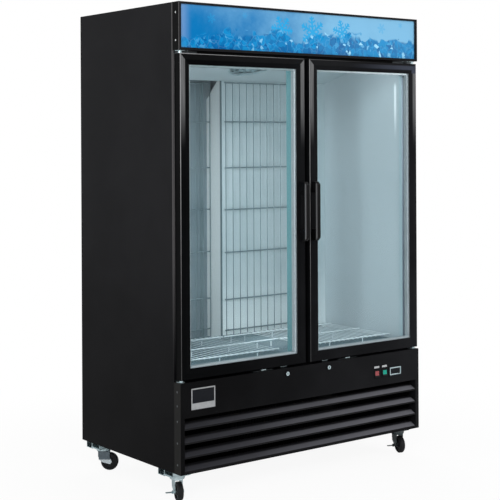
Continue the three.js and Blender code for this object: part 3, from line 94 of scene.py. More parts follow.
# plated zinc in painted shade, a darker copy of the zinc
ZINC_SHADE_DARK = (0.035, 0.040, 0.042)
ZINC_SHADE = (ZINC_SHADE_DARK, (0.10, 0.115, 0.12))
HINGE_GREY = (0.12, 0.13, 0.14)
HINGE = (ZINC_SHADE_DARK, HINGE_GREY)
SCREW_PALE = (0.62, 0.64, 0.65)
ALUMINIUM = (ZINC[0], (0.58, 0.61, 0.62))
# painted light and shade on the plated forks: shaded crowns, lit legs, a glint on the toes round the axle,
# the front right fork in shade
FRONT_LEFT_FORK = ((0.08, 0.11, 0.115), (0.66, 0.80, 0.84), (0.62, 0.76, 0.80))  # crown, legs, toes
FRONT_RIGHT_FORK = ((0.06, 0.08, 0.085), (0.05, 0.068, 0.074), (0.14, 0.17, 0.18))
REAR_FORK = ((0.12, 0.15, 0.15), (0.14, 0.175, 0.20), (0.78, 0.86, 0.90))
LINER_SHADE = (0.49, 0.57, 0.59)
LINER = (LINER_SHADE, (0.56, 0.63, 0.65))
# air duct: painted light on its side and low on its front, painted shade on its fold
DUCT_SIDE_LIGHT = (0.93, 0.96, 0.95)
DUCT_FOLD_SHADE = (0.20, 0.27, 0.29)
DUCT_FOOT_LIGHT = (0.84, 0.89, 0.89)
# coated rack wire: the lit colour, then paler and shaded copies of it as painted shade
WIRE_WHITE = (0.86, 0.91, 0.92)
WIRE_PALE = (0.74, 0.80, 0.82)
WIRE_SHADE = (0.30, 0.40, 0.43)
WIRE_GREY = ((0.15, 0.21, 0.23), (0.22, 0.29, 0.31))
FAN_GREY = ((0.34, 0.47, 0.50), (0.48, 0.62, 0.66))
# painted shade in the deep left recess
RECESS_SHADE = (0.026, 0.086, 0.118)
WALL_GREY = (0.50, 0.56, 0.585)
# floor of the inside: its own dark colour, darkened further as painted shade of the racks over it
FLOOR_TEAL = ((0.10, 0.155, 0.175), (0.30, 0.38, 0.41))
# painted shade on the centre post's sides behind the doors
POST_SHADE = (0.15, 0.31, 0.33)
JAMB_TEAL = (0.47, 0.58, 0.61)
# throat of the body frame: painted shade low, painted light high
THROAT_SHADE = (0.30, 0.34, 0.40)
THROAT_LIGHT = (0.78, 0.86, 0.96)
# painted shade on the right wall's front edge; painted highlight in its front corner
WALL_EDGE_SHADE = (0.22, 0.26, 0.29)
CORNER_HIGHLIGHT = (0.94, 0.97, 0.98)
# top of the spacers: painted shade on the left, painted light on the right
SPACER_TOP = (0.28, 0.35, 0.37)
SPACER_TOP_LIT = (0.75, 0.80, 0.83)
SPACER_GREY = ((0.34, 0.38, 0.40), (0.46, 0.50, 0.52))
GLASS_TINT = (0.935, 0.965, 0.975)
SIGN_DEEP = (0.002, 0.135, 0.360)
SIGN_PALE = (0.180, 0.410, 0.610)
SIGN_HAZE = (0.26, 0.36, 0.56)
ICE_DARK = (0.002, 0.085, 0.270)
ICE_MIDDLE = (0.004, 0.210, 0.480)
ICE_LIGHT = (0.300, 0.600, 0.780)
FLAKE_BLUE = (0.010, 0.300, 0.600)
RED_ROCKER = ((0.280, 0.060, 0.065), (0.340, 0.090, 0.095))
GREEN_ROCKER = ((0.006, 0.220, 0.160), (0.012, 0.360, 0.265))
LABEL_GREY = ((0.380, 0.390, 0.400), (0.44, 0.45, 0.46))
WINDOW = ((0.006, 0.007, 0.009), (0.010, 0.011, 0.014))
BADGE_SILVER = ((0.30, 0.31, 0.32), (0.46, 0.47, 0.48))
FOAM = ((0.5, 0.42, 0.24), (0.62, 0.52, 0.30))
LAMP_WHITE = ((0.86, 0.87, 0.85), (0.9, 0.9, 0.88))
STUDIO_FLOOR = (0.93, 0.93, 0.93)
LED_TINT = (0.95, 0.98, 1.0)


# ---- node helpers
class Nodes:
    """Short calls to add and link the nodes of one tree."""

    def __init__(self, tree):
        self.tree = tree

    def give(self, socket, value):
        """Links the socket to another one, or sets its value."""
        if isinstance(value, bpy.types.NodeSocket):
            self.tree.links.new(value, socket)
        elif socket.type == "RGBA":
            socket.default_value = (*value, 1.0)
        else:
            socket.default_value = value

    def add(self, kind, inputs=None, **settings):
        node = self.tree.nodes.new(kind)
        for name, value in settings.items():
            setattr(node, name, value)
        for key, value in (inputs or {}).items():
            self.give(node.inputs[key], value)
        return node

    def math(self, operation, *values):
        return self.add("ShaderNodeMath", dict(enumerate(values)), operation=operation).outputs[0]

    def vector(self, operation, *values):
        return self.add("ShaderNodeVectorMath", dict(enumerate(values)), operation=operation).outputs[0]

    def times(self, first, *others):
        for other in others:
            first = self.math("MULTIPLY", first, other)
        return first

    def most(self, first, *others):
        for other in others:
            first = self.math("MAXIMUM", first, other)
        return first

    def less(self, a, b):
        return self.math("SUBTRACT", a, b)

    def size(self, value):
        return self.math("ABSOLUTE", value)

    def between(self, value, zero, one):
        """0 up to one limit and 1 beyond the other, smooth between; either limit may be the lower one."""
        node = self.add("ShaderNodeMapRange", {"Value": value, "From Min": zero, "From Max": one},
                        interpolation_type="SMOOTHSTEP")
        return node.outputs["Result"]

    def ramp(self, value, edge, distances):
        """The same with the two limits given as distances from an edge."""
        zero, one = distances
        return self.between(value, edge + zero, edge + one)

    def band(self, value, start, full, fading, end):
        """1 from full to fading, and 0 before start and after end."""
        return self.times(self.between(value, start, full), self.between(value, end, fading))

    def blend(self, share, low, high):
        return self.add("ShaderNodeMix", {0: share, 6: low, 7: high}, data_type="RGBA").outputs[2]

    def place(self):
        """Coordinates of the object itself, which are the frame's metres for every CAD node."""
        return self.add("ShaderNodeTexCoord").outputs["Object"]

    def axes(self, vector=None):
        return self.add("ShaderNodeSeparateXYZ", {"Vector": vector or self.place()}).outputs

    def noise(self, vector, scale, detail=2.0, roughness=0.5):
        node = self.add("ShaderNodeTexNoise", {
            "Vector": vector, "Scale": scale, "Detail": detail, "Roughness": roughness})
        return node.outputs["Fac"]

    def cells(self, vector, scale):
        """A value of its own for each cell of an irregular pattern."""
        cell = self.add("ShaderNodeTexVoronoi", {"Vector": vector, "Scale": scale}).outputs["Color"]
        return self.add("ShaderNodeSeparateColor", {"Color": cell}).outputs[0]

    def group(self, tree, inputs):
        return self.add("ShaderNodeGroup", inputs, node_tree=tree).outputs


def new_group(name, inputs, outputs):
    """An empty shader node group: its nodes, its named inputs and its named results."""
    tree = bpy.data.node_groups.new(name, "ShaderNodeTree")
    for label, default in inputs.items():
        kind = "NodeSocketVector" if isinstance(default, tuple) else "NodeSocketFloat"
        tree.interface.new_socket(label, in_out="INPUT", socket_type=kind).default_value = default
    for label in outputs:
        kind = "NodeSocketVector" if label == "Normal" else "NodeSocketFloat"
        tree.interface.new_socket(label, in_out="OUTPUT", socket_type=kind)
    nodes = Nodes(tree)
    return nodes, nodes.add("NodeGroupInput").outputs, nodes.add("NodeGroupOutput").inputs


GRAIN_RESULTS = ("Roughness", "Mottle", "Normal")
PAINT_SPREAD = 0.08  # how much the roughness swings
METAL_SPREAD = 0.15
METAL_STREAKS = (40.0, 900.0, 900.0)
PEEL_HEIGHT = 0.4 * MM
STREAK_HEIGHT = 0.3 * MM
SPANGLE_SCALE = 90.0
SPANGLE_SHARE = 0.35


def make_paint_grain():
    """Fine orange peel of sprayed paint and moulded plastic, with a slow unevenness of gloss."""
    nodes, given, result = new_group(
        "paint_grain", {"Scale": 900.0, "Depth": 0.1, "Gloss": 0.4}, GRAIN_RESULTS)
    place = nodes.place()
    peel = nodes.noise(place, given["Scale"])
    slow = nodes.noise(place, 2.6, detail=4.0, roughness=0.6)
    bump = nodes.add("ShaderNodeBump", {"Strength": given["Depth"], "Distance": PEEL_HEIGHT, "Height": peel})
    swing = nodes.times(nodes.less(slow, 0.5), PAINT_SPREAD)
    nodes.give(result["Roughness"], nodes.math("ADD", given["Gloss"], swing))
    nodes.give(result["Mottle"], nodes.between(slow, 0.35, 0.65))
    nodes.give(result["Normal"], bump.outputs["Normal"])
    return nodes.tree


def make_metal_grain():
    """Plated or rolled metal: streaks along one direction and cloudy spangle."""
    nodes, given, result = new_group("metal_grain", {"Depth": 0.05, "Gloss": 0.3}, GRAIN_RESULTS)
    place = nodes.place()
    streak = nodes.noise(nodes.vector("MULTIPLY", place, METAL_STREAKS), 1.0, detail=3.0)
    cloud = nodes.cells(place, SPANGLE_SCALE)
    mixed = nodes.math("MULTIPLY_ADD", streak, 1 - SPANGLE_SHARE, nodes.times(cloud, SPANGLE_SHARE))
    swing = nodes.times(nodes.less(mixed, 0.5), METAL_SPREAD)
    bump = nodes.add("ShaderNodeBump", {
        "Strength": given["Depth"], "Distance": STREAK_HEIGHT, "Height": streak})
    nodes.give(result["Roughness"], nodes.math("ADD", given["Gloss"], swing))
    nodes.give(result["Mottle"], mixed)
    nodes.give(result["Normal"], bump.outputs["Normal"])
    return nodes.tree


PAINT_GRAIN = make_paint_grain()
METAL_GRAIN = make_metal_grain()


# ---- materials
class Finish(Nodes):
    """A new material: its nodes, its shader and output, and the mottle of its grain."""

    def __init__(self, name, grain=PAINT_GRAIN, metallic=0.0, specular=0.5, **values):
        self.material = bpy.data.materials.new(name)
        self.material.use_nodes = True
        super().__init__(self.material.node_tree)
        self.tree.nodes.clear()
        self.shader = self.add("ShaderNodeBsdfPrincipled")
        self.output = self.add("ShaderNodeOutputMaterial", {"Surface": self.shader.outputs[0]})
        self.put("Metallic", metallic)
        self.put("Specular IOR Level", specular)
        if grain:
            given = self.group(grain, values)
            self.put("Roughness", given["Roughness"])
            self.put("Normal", given["Normal"])
            self.mottle = given["Mottle"]

    def put(self, label, value):
        """Sets or links that input of the shader."""
        self.give(self.shader.inputs[label], value)

    def mottled(self, pair):
        """Two near colours mixed by the grain."""
        return self.blend(self.mottle, *pair)

    def shaded(self, share, low, high):
        """The same for a mixture of two pairs."""
        return self.mottled([self.blend(share, *ends) for ends in zip(low, high)])

    def cover(self, share, kind, **inputs):
        """Lays another shader over the material's own by that share."""
        other = self.add(kind, inputs)
        mixed = self.add("ShaderNodeMixShader", {0: share, 1: self.shader.outputs[0], 2: other.outputs[0]})
        self.give(self.output.inputs["Surface"], mixed.outputs[0])

    def paint(self, colour):
        self.put("Base Color", colour)
        return self.material


SPRAYED = {"Scale": 1100.0, "Depth": 0.12, "Gloss": 0.42}  # the cabinet's paint
COATED = {"Scale": 300.0, "Depth": 0.02, "Gloss": 0.55}  # the white sheets inside


def grained(name, pair, grain=PAINT_GRAIN, **settings):
    """A material that mixes two near colours by the grain's mottle."""
    nodes = Finish(name, grain, **settings)
    return nodes.paint(nodes.mottled(pair))


# ---- doors and handles
CORNER_REACH = (2.6 * MM, 2.0 * MM)  # where the painted highlight on a front corner ends, from the corner
POST_REACH = (2.4 * MM, 1.8 * MM)
DOOR_SKIN = (0.9 * MM, 0.4 * MM)  # how deep the door's flat front face reaches
DOOR_STREAKS = (700.0, 700.0, 5.0)  # streaks of the painted highlight, drawn out along the height
STREAK_SHARE = 0.6
# heights over which the painted highlight on the stiles fades in
HIGHLIGHT_HEIGHTS = (1.46, 1.72)
# painted highlight on the right part of the top rail
RAIL_ACROSS = (0.20, 0.70)
RAIL_HEIGHTS = (-MM, 3 * MM)  # from the inner edge of the top rail
RAIL_TOP = (14 * MM, 8 * MM)  # below its outer edge
# thin painted highlight along the top edge of the doors
LINE_RISE = (-3.0 * MM, -2.4 * MM)
LINE_REACH = (3.4 * MM, 2.8 * MM)
LINE_ACROSS = (0.55, -0.85)
CORNER_HEIGHTS = (0.6, 1.6)
CORNER_LEAST = 0.2  # how much of the corners' painted highlight stays near the floor


def make_door_finish():
    """Moulded profile with painted shade on the left, a painted highlight high on the stiles, and painted
    highlights on the top rail and corners.
    """
    nodes = Finish("door_paint", specular=0.03, Scale=1300.0, Depth=0.04, Gloss=0.30)
    place = nodes.place()
    x, y, z = nodes.axes(place)
    aside = nodes.size(x)
    low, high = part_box("right_door_frame")
    across = nodes.between(x, -HALF_WIDTH, HALF_WIDTH)
    # painted shade growing towards the left across both doors
    colour = nodes.shaded(across, DOOR_SHADE_LEFT, DOOR_LIT_RIGHT)
    front = nodes.ramp(y, low.y, DOOR_SKIN)
    inner = nodes.between(aside, low.x + DOOR_FLAT, low.x + DOOR_FLAT - MM)
    outer = nodes.between(aside, high.x - DOOR_FLAT, high.x - DOOR_FLAT + MM)
    from_edge = nodes.math("MINIMUM", nodes.less(aside, low.x), nodes.less(high.x, aside))
    below_mitre = nodes.between(nodes.less(nodes.less(high.z, z), from_edge), 0.0, MM)
    # painted highlight on the flats of the stiles near their top, streaked and cut by the mitres
    drawn = nodes.noise(nodes.vector("MULTIPLY", place, DOOR_STREAKS), 1.0, detail=3.0)
    streak = nodes.math("MULTIPLY_ADD", nodes.between(drawn, 0.30, 0.70), STREAK_SHARE, 1 - STREAK_SHARE)
    painted_highlight = nodes.times(nodes.most(inner, outer), front, below_mitre, streak,
                        nodes.between(z, *HIGHLIGHT_HEIGHTS))
    colour = nodes.blend(painted_highlight, colour, DOOR_HIGHLIGHT)
    rail_foot, rail_full = (high.z - DOOR_FACE + height for height in RAIL_HEIGHTS)
    rail_fading, rail_end = (high.z - drop for drop in RAIL_TOP)
    rail = nodes.times(nodes.band(z, rail_foot, rail_full, rail_fading, rail_end),
                       nodes.between(x, *RAIL_ACROSS), front)
    colour = nodes.blend(rail, colour, DOOR_RAIL_HIGHLIGHT)
    top_highlight = nodes.times(nodes.ramp(z, high.z, LINE_RISE), nodes.ramp(y, low.y, LINE_REACH),
                           nodes.between(x, *LINE_ACROSS))
    colour = nodes.blend(top_highlight, colour, DOOR_CORNER_HIGHLIGHT)
    # painted highlights on the corners that face left and on the corners at the centre post
    left_corner = nodes.ramp(x, -high.x, CORNER_REACH)
    post_corner = nodes.times(nodes.ramp(aside, low.x, POST_REACH), nodes.between(x, 0.0, MM))
    rise = nodes.between(z, *CORNER_HEIGHTS)
    corner = nodes.times(nodes.most(left_corner, post_corner), nodes.ramp(y, low.y, CORNER_REACH),
                         nodes.math("MULTIPLY_ADD", rise, 1 - CORNER_LEAST, CORNER_LEAST))
    return nodes.paint(nodes.blend(corner, colour, DOOR_CORNER_HIGHLIGHT))


HANDLE_ACROSS = (-2 * MM, -1 * MM, 2.5 * MM, 4.5 * MM)  # band of painted highlight, from the handle's left side
HANDLE_REACH = (7 * MM, 5 * MM)


def make_handle_finish():
    """Moulded handles with a painted highlight along their left front edges."""
    nodes = Finish("handle_plastic", specular=0.10, Scale=1600.0, Depth=0.10, Gloss=0.30)
    x, y, _ = nodes.axes()
    colour = nodes.mottled(HANDLE)
    for name in ("left_door_handle", "right_door_handle"):
        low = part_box(name)[0]
        edge = nodes.times(nodes.band(x, *[low.x + step for step in HANDLE_ACROSS]),
                           nodes.ramp(y, low.y, HANDLE_REACH))
        colour = nodes.blend(edge, colour, HANDLE_EDGE_HIGHLIGHT)
    return nodes.paint(colour)


# ---- painted sheets with flush screws
# heights over which the sides' painted shade gives way
SIDE_HEIGHTS = (0.15, 1.35)
# where the painted highlight on the side's fold lies
FOLD_REACH = (7.4 * MM, 6.4 * MM)
FOLD_HEIGHTS = (0.5, 1.2)
SCREW_RADIUS = 3.8 * MM
SCREW_ARM = 0.5 * MM  # half the width of the cross recess
HEADER_SCREW_RISE = (41 * MM, 157 * MM)
PANEL_SCREW_DROP = (38 * MM, 96 * MM, 160 * MM, 250 * MM, 340 * MM)
RETURN_SCREW_DEPTH = 24 * MM
BACK_SCREW_INSET = 9 * MM
BACK_SCREW_END = 50 * MM  # from the ends of the back panel
BACK_SCREW_COUNT = 9
HEADER_END = (-1.2 * MM, -0.6 * MM)  # where the outer face of a sheet begins
PANEL_END = (-0.9 * MM, -0.3 * MM)
BACK_SKIN = (-0.6 * MM, -0.3 * MM)


def make_side_finish():
    """Painted side sheet: painted shade towards the floor, and a painted highlight on the edge where it
    folds round to the front.
    """
    nodes = Finish("side_paint", specular=0.03, **SPRAYED)
    _, y, z = nodes.axes()
    height = nodes.between(z, *SIDE_HEIGHTS)
    colour = nodes.shaded(height, SIDE_SHADE_LOW, SIDE_LIT_HIGH)
    fold = nodes.times(nodes.ramp(y, BODY_FRONT_Y, FOLD_REACH), nodes.between(z, *FOLD_HEIGHTS))
    return nodes.paint(nodes.blend(fold, colour, FOLD_HIGHLIGHT))


def make_flush_screw():
    """Countersunk screw that lies flush with its sheet: its head and the cross recess in it."""
    nodes, given, result = new_group("flush_screw", {"Aside": 0.0, "Up": 0.0}, ("Head", "Cross"))
    aside = given["Aside"]
    up = given["Up"]
    square = nodes.math("MULTIPLY_ADD", aside, aside, nodes.times(up, up))
    arm = nodes.math("MINIMUM", nodes.size(aside), nodes.size(up))
    cross = nodes.times(nodes.between(arm, 1.2 * SCREW_ARM, SCREW_ARM),
                        nodes.between(square, (0.6 * SCREW_RADIUS) ** 2, (0.5 * SCREW_RADIUS) ** 2))
    nodes.give(result["Head"], nodes.between(square, (1.1 * SCREW_RADIUS) ** 2, SCREW_RADIUS ** 2))
    nodes.give(result["Cross"], cross)
    return nodes.tree


FLUSH_SCREW = make_flush_screw()


def add_screws(nodes, colour, head, sheet, aside, z, heights):
    """The colour with a row of screws drawn over it, on the sheet's outer face only."""
    for height in heights:
        screw = nodes.group(FLUSH_SCREW, {"Aside": aside, "Up": nodes.less(z, height)})
        colour = nodes.blend(nodes.times(screw["Head"], sheet), colour, head)
        colour = nodes.blend(nodes.times(screw["Cross"], sheet), colour, HOLE_BLACK)
    return colour


def make_back_finish():
    """Painted back panel with a row of black screws along each edge."""
    nodes = Finish("back_paint", specular=0.05, **SPRAYED)
    x, y, z = nodes.axes()
    aside = nodes.less(nodes.size(x), BACK_HIGH.x - BACK_SCREW_INSET)
    step = (BACK_HIGH.z - BACK_LOW.z - 2 * BACK_SCREW_END) / (BACK_SCREW_COUNT - 1)
    heights = [BACK_LOW.z + BACK_SCREW_END + i * step for i in range(BACK_SCREW_COUNT)]
    colour = nodes.mottled(BLACK_PAINT)
    outside = nodes.ramp(y, BACK_HIGH.y, BACK_SKIN)
    return nodes.paint(add_screws(nodes, colour, HINGE_GREY, outside, aside, z, heights))


def make_header_finish():
    """Painted header: darker returns with plated screws at its ends and a painted highlight on its front
    corner on the left.
    """
    nodes = Finish("header_paint", specular=0.04, **SPRAYED)
    x, y, z = nodes.axes()
    end = nodes.ramp(nodes.size(x), HALF_WIDTH, HEADER_END)
    colour = nodes.blend(end, nodes.mottled(BLACK_PAINT), HOLE_BLACK)
    # painted highlight on the front left corner
    corner = nodes.times(nodes.ramp(x, -HALF_WIDTH, CORNER_REACH), nodes.ramp(y, FACE_Y, CORNER_REACH))
    colour = nodes.blend(corner, colour, FOLD_HIGHLIGHT)
    depth = nodes.less(y, FACE_Y + RETURN_SCREW_DEPTH)
    heights = [HEADER_LOW.z + rise for rise in HEADER_SCREW_RISE]
    return nodes.paint(add_screws(nodes, colour, SCREW_PALE, end, depth, z, heights))


def make_panel_finish():
    """Lower front sheet: painted shade towards the left, painted light on its side returns, with black
    screws in them.
    """
    nodes = Finish("front_sheet", specular=0.04, **SPRAYED)
    x, y, z = nodes.axes()
    across = nodes.between(x, -HALF_WIDTH, HALF_WIDTH)
    # painted shade towards the left of the front sheet
    face = nodes.shaded(across, SHADE_AND_HOLE_BLACK, BLACK_PAINT)
    end = nodes.ramp(nodes.size(x), HALF_WIDTH, PANEL_END)
    colour = nodes.blend(end, face, nodes.mottled(RETURN_LIT))
    depth = nodes.less(y, FACE_Y + RETURN_SCREW_DEPTH)
    heights = [PANEL_HIGH.z - drop for drop in PANEL_SCREW_DROP]
    return nodes.paint(add_screws(nodes, colour, HINGE_GREY, end, depth, z, heights))


# ---- body frame, louvres and the inside
POST_HALF = (0.10, 0.12)  # where the centre post ends and the throat begins
# heights over which the throat's painted light grows
THROAT_HEIGHTS = (0.75, 1.75)
FRAME_SKIN = (0.4 * MM, 0.9 * MM)
LOUVRE_RETURN = 25 * MM  # width of the grille's ends, in painted shade
# where the painted light on a blade begins and ends, from the front of the grille
BLADE_LIGHT_DEPTHS = (1.0 * MM, 2.6 * MM, 22 * MM, 33 * MM)
LOUVRE_MOTTLE = 0.12


def make_body_frame_finish():
    """Door frame of the body: black face; a grey throat inside the gaskets with painted light towards the
    top; behind, a teal post in painted shade and teal jambs.
    """
    nodes = Finish("body_frame", specular=0.06, Scale=700.0, Depth=0.03, Gloss=0.40)
    x, y, z = nodes.axes()
    aside = nodes.size(x)
    outwards = nodes.between(aside, *POST_HALF)
    inner = GASKET_HIGH.x - GASKET_WIDTH
    top = GASKET_HIGH.z - GASKET_WIDTH
    bottom = GASKET_LOW.z + GASKET_WIDTH
    throat = nodes.times(outwards, nodes.between(aside, inner, inner - MM),
                         nodes.band(z, bottom, bottom + MM, top - MM, top))
    grey = nodes.blend(nodes.between(z, *THROAT_HEIGHTS), THROAT_SHADE, THROAT_LIGHT)
    face = nodes.blend(throat, nodes.mottled(PLASTIC), grey)
    behind = nodes.ramp(y, BODY_FRONT_Y, FRAME_SKIN)
    return nodes.paint(nodes.blend(behind, face, nodes.blend(outwards, POST_SHADE, JAMB_TEAL)))


def make_louvre_finish():
    """Slats: painted shade on the front lips, the blades' rear and the grille's ends; painted light on the
    blades, brighter towards the right.
    """
    nodes = Finish("louvre_slats", specular=0.08, Scale=1100.0, Depth=0.08, Gloss=0.42)
    x, y, _ = nodes.axes()
    blade = nodes.blend(nodes.between(x, -HALF_WIDTH, HALF_WIDTH), BLADE_LIGHT_LEFT, BLADE_LIGHT_RIGHT)
    blade = nodes.blend(nodes.times(nodes.mottle, LOUVRE_MOTTLE), blade, LOUVRE_SHADE)
    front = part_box("louvre_grille")[0].y
    end = HALF_WIDTH - LOUVRE_RETURN
    share = nodes.times(nodes.band(y, *[front + depth for depth in BLADE_LIGHT_DEPTHS]),
                        nodes.between(nodes.size(x), end + 2 * MM, end))
    return nodes.paint(nodes.blend(share, LOUVRE_SHADE, blade))


WALL_SPAN = 0.9  # share of the width over which the walls change colour
WALL_MOTTLE = 0.15
RIGHT_REACH = (-40 * MM, -20 * MM)
EDGE_REACH = (16 * MM, 12 * MM)
EDGE_HEIGHTS = (1.50, 0.80)
CORNER_HIGHLIGHT_DEPTHS = (35 * MM, 39 * MM, 50 * MM, 54 * MM)  # painted highlight in the front right corner
CORNER_HIGHLIGHT_HEIGHTS = (1.50, 1.68, 1.76, 1.79)
REAR_DEPTHS = (-0.18, -0.02)  # where the floor gets paler towards the back
REAR_ACROSS = (-0.45, 0.0)
GROUND_RISE = (2 * MM, 6 * MM)


def make_walls():
    """Inside walls with painted shade in the left recess and on the right wall's front edge, a painted
    highlight in its front corner, over a dark floor.
    """
    nodes = Finish("inside_walls", specular=0.25, **COATED)
    x, y, z = nodes.axes()
    across = nodes.between(x, LINER_LOW.x * WALL_SPAN, LINER_HIGH.x * WALL_SPAN)
    wall = nodes.blend(across, RECESS_SHADE, WALL_GREY)
    wall = nodes.blend(nodes.times(nodes.mottle, WALL_MOTTLE), wall, LINER_SHADE)
    right = nodes.ramp(x, LINER_HIGH.x, RIGHT_REACH)
    # painted shade on the right wall's front edge, darker towards the bottom
    edge = nodes.times(right, nodes.ramp(y, BODY_FRONT_Y, EDGE_REACH), nodes.between(z, *EDGE_HEIGHTS))
    wall = nodes.blend(edge, wall, WALL_EDGE_SHADE)
    # painted highlight in the right wall's front corner
    strip = nodes.times(right, nodes.band(y, *[BODY_FRONT_Y + depth for depth in CORNER_HIGHLIGHT_DEPTHS]),
                        nodes.band(z, *CORNER_HIGHLIGHT_HEIGHTS))
    wall = nodes.blend(strip, wall, CORNER_HIGHLIGHT)
    rear = nodes.times(nodes.between(y, *REAR_DEPTHS), nodes.between(x, *REAR_ACROSS))
    # floor partly its own dark colour and partly painted shade of the racks, paler towards the back on the
    # right
    ground = nodes.blend(rear, *FLOOR_TEAL)
    return nodes.paint(nodes.blend(nodes.ramp(z, LINER_LOW.z, GROUND_RISE), ground, wall))


WIRE_LAYER = (-10.8 * MM, -10.2 * MM, -6.2 * MM, -5.6 * MM)  # from the top of the rack
RACK_MOTTLE = 0.25


def make_rack_finish(name, bars, wires):
    """Coated floor rack: the wires lie just under the cross bars and get painted shade."""
    nodes = Finish(name, specular=0.3, Scale=900.0, Depth=0.08, Gloss=0.38)
    layer = nodes.band(nodes.axes()[2], *[RACK_HIGH.z + drop for drop in WIRE_LAYER])
    colour = nodes.blend(layer, bars, wires)
    return nodes.paint(nodes.blend(nodes.times(nodes.mottle, RACK_MOTTLE), colour, WIRE_SHADE))


DUCT_SKIN = (0.6 * MM, 1.6 * MM)
DUCT_FOLD_REACH = (17 * MM, 13 * MM)
DUCT_FOOT_HEIGHTS = (0.95, 0.50)


def make_duct_finish():
    """Air duct: a side pale with painted light and a fold at its front dark with painted shade; a greyer
    front sheet, paler near the floor with painted light.
    """
    nodes = Finish("duct_sheet", specular=0.06, Scale=300.0, Depth=0.02, Gloss=0.5)
    x, y, z = nodes.axes()
    side = nodes.blend(nodes.ramp(y, DUCT_LOW.y, DUCT_FOLD_REACH), DUCT_SIDE_LIGHT, DUCT_FOLD_SHADE)
    sheet = nodes.mottled(LINER)
    sheet = nodes.blend(nodes.between(z, *DUCT_FOOT_HEIGHTS), sheet, DUCT_FOOT_LIGHT)
    return nodes.paint(nodes.blend(nodes.ramp(x, DUCT_LOW.x, DUCT_SKIN), side, sheet))


SPACER_TOP_RISE = (-26 * MM, -20 * MM)
SPACER_ENDS = (21 * MM, 24 * MM)
SPACER_ACROSS = (-0.1, 0.6)


def make_spacer_finish():
    """Bright spacer bar, along its top painted shade on the left and painted light on the right."""
    nodes = Finish("glass_spacer", METAL_GRAIN, metallic=0.3, Depth=0.03, Gloss=0.42)
    x, _, z = nodes.axes()
    low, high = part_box("right_door_outer_glass")
    end, full = SPACER_ENDS
    upper = nodes.times(nodes.ramp(z, high.z, SPACER_TOP_RISE),
                        nodes.band(nodes.size(x), low.x + end, low.x + full, high.x - full, high.x - end))
    top = nodes.blend(nodes.between(x, *SPACER_ACROSS), SPACER_TOP, SPACER_TOP_LIT)
    return nodes.paint(nodes.blend(upper, nodes.mottled(SPACER_GREY), top))


SMEAR_ROUGHNESS = 0.02
GLASS_IOR = 1.14


def make_glass():
    """Clear glass that lets the light through to what stands behind it."""
    nodes = Finish("door_glass", grain=None)
    smear = nodes.noise(nodes.place(), 6.0, detail=5.0, roughness=0.7)
    nodes.put("Roughness", nodes.times(nodes.between(smear, 0.55, 0.85), SMEAR_ROUGHNESS))
    nodes.put("Transmission Weight", 1.0)
    nodes.put("IOR", GLASS_IOR)
    path = nodes.add("ShaderNodeLightPath").outputs
    through = nodes.most(path["Is Shadow Ray"], path["Is Diffuse Ray"])
    nodes.cover(through, "ShaderNodeBsdfTransparent", Color=GLASS_TINT)
    return nodes.paint(GLASS_TINT)


# ---- header print
FLAKE_ARM = (0.085, 0.055)  # where the half width of an arm ends, in shares of the flake's size
FLAKE_TIP = (1.0, 0.96)
FLAKE_BRANCH = (0.060, 0.035)
FLAKE_BRANCHES = ((0.30, 0.26), (0.55, 0.30), (0.78, 0.20))  # root along the arm and reach aside
BRANCH_END = 0.04
BRANCH_LEAN = math.radians(60)
FLAKES = (  # shares of the sign's width and height, size, turn, strength
    (0.40, 0.56, 62 * MM, 0.10, 0.85), (0.53, 0.54, 72 * MM, 0.42, 0.85), (0.66, 0.57, 60 * MM, 0.25, 0.85),
    (0.12, 0.70, 22 * MM, 0.30, 0.35), (0.25, 0.82, 15 * MM, 0.00, 0.35), (0.84, 0.74, 26 * MM, 0.15, 0.40),
    (0.93, 0.85, 14 * MM, 0.50, 0.40),
)
MIST_SHARE = 0.9
RISE_SHARE = 0.25
HAZE_STRENGTH = 0.45
ICE_BEND = (0.035, 0.035, 0.035)
ICE_BLOCKS = 22.0
ICE_FACETS = 60.0
BLOCK_SHARE = 0.45
RIM_STRENGTH = 0.14
BANK_SWING = 1.25
BANK_LEVEL = -0.30
BANK_BREAK = 0.20
BANK_COVER = 0.85
SIGN_GLOW = 0.15


def make_snow_flake():
    """Six-armed snow crystal in the plane of the header: 1 inside its arms, 0 outside."""
    nodes, given, result = new_group(
        "snow_flake", {"Across": 0.0, "Up": 0.0, "Size": 0.05, "Turn": 0.0}, ("Mask",))
    x, _, z = nodes.axes()
    right = nodes.math("DIVIDE", nodes.less(x, given["Across"]), given["Size"])
    high = nodes.math("DIVIDE", nodes.less(z, given["Up"]), given["Size"])
    reach = nodes.math("SQRT", nodes.math("MULTIPLY_ADD", right, right, nodes.times(high, high)))
    angle = nodes.math("ADD", nodes.math("ARCTAN2", high, right), given["Turn"])
    folded = nodes.math("PINGPONG", angle, math.pi / 6)
    along = nodes.times(reach, nodes.math("COSINE", folded))
    aside = nodes.times(reach, nodes.math("SINE", folded))
    mask = nodes.times(nodes.between(aside, *FLAKE_ARM), nodes.between(along, *FLAKE_TIP))
    for root, length in FLAKE_BRANCHES:
        lean = nodes.less(nodes.times(nodes.less(along, root), math.sin(BRANCH_LEAN)),
                          nodes.times(aside, math.cos(BRANCH_LEAN)))
        branch = nodes.times(nodes.between(nodes.size(lean), *FLAKE_BRANCH),
                             nodes.between(aside, length, length - BRANCH_END))
        mask = nodes.most(mask, branch)
    nodes.give(result["Mask"], mask)
    return nodes.tree


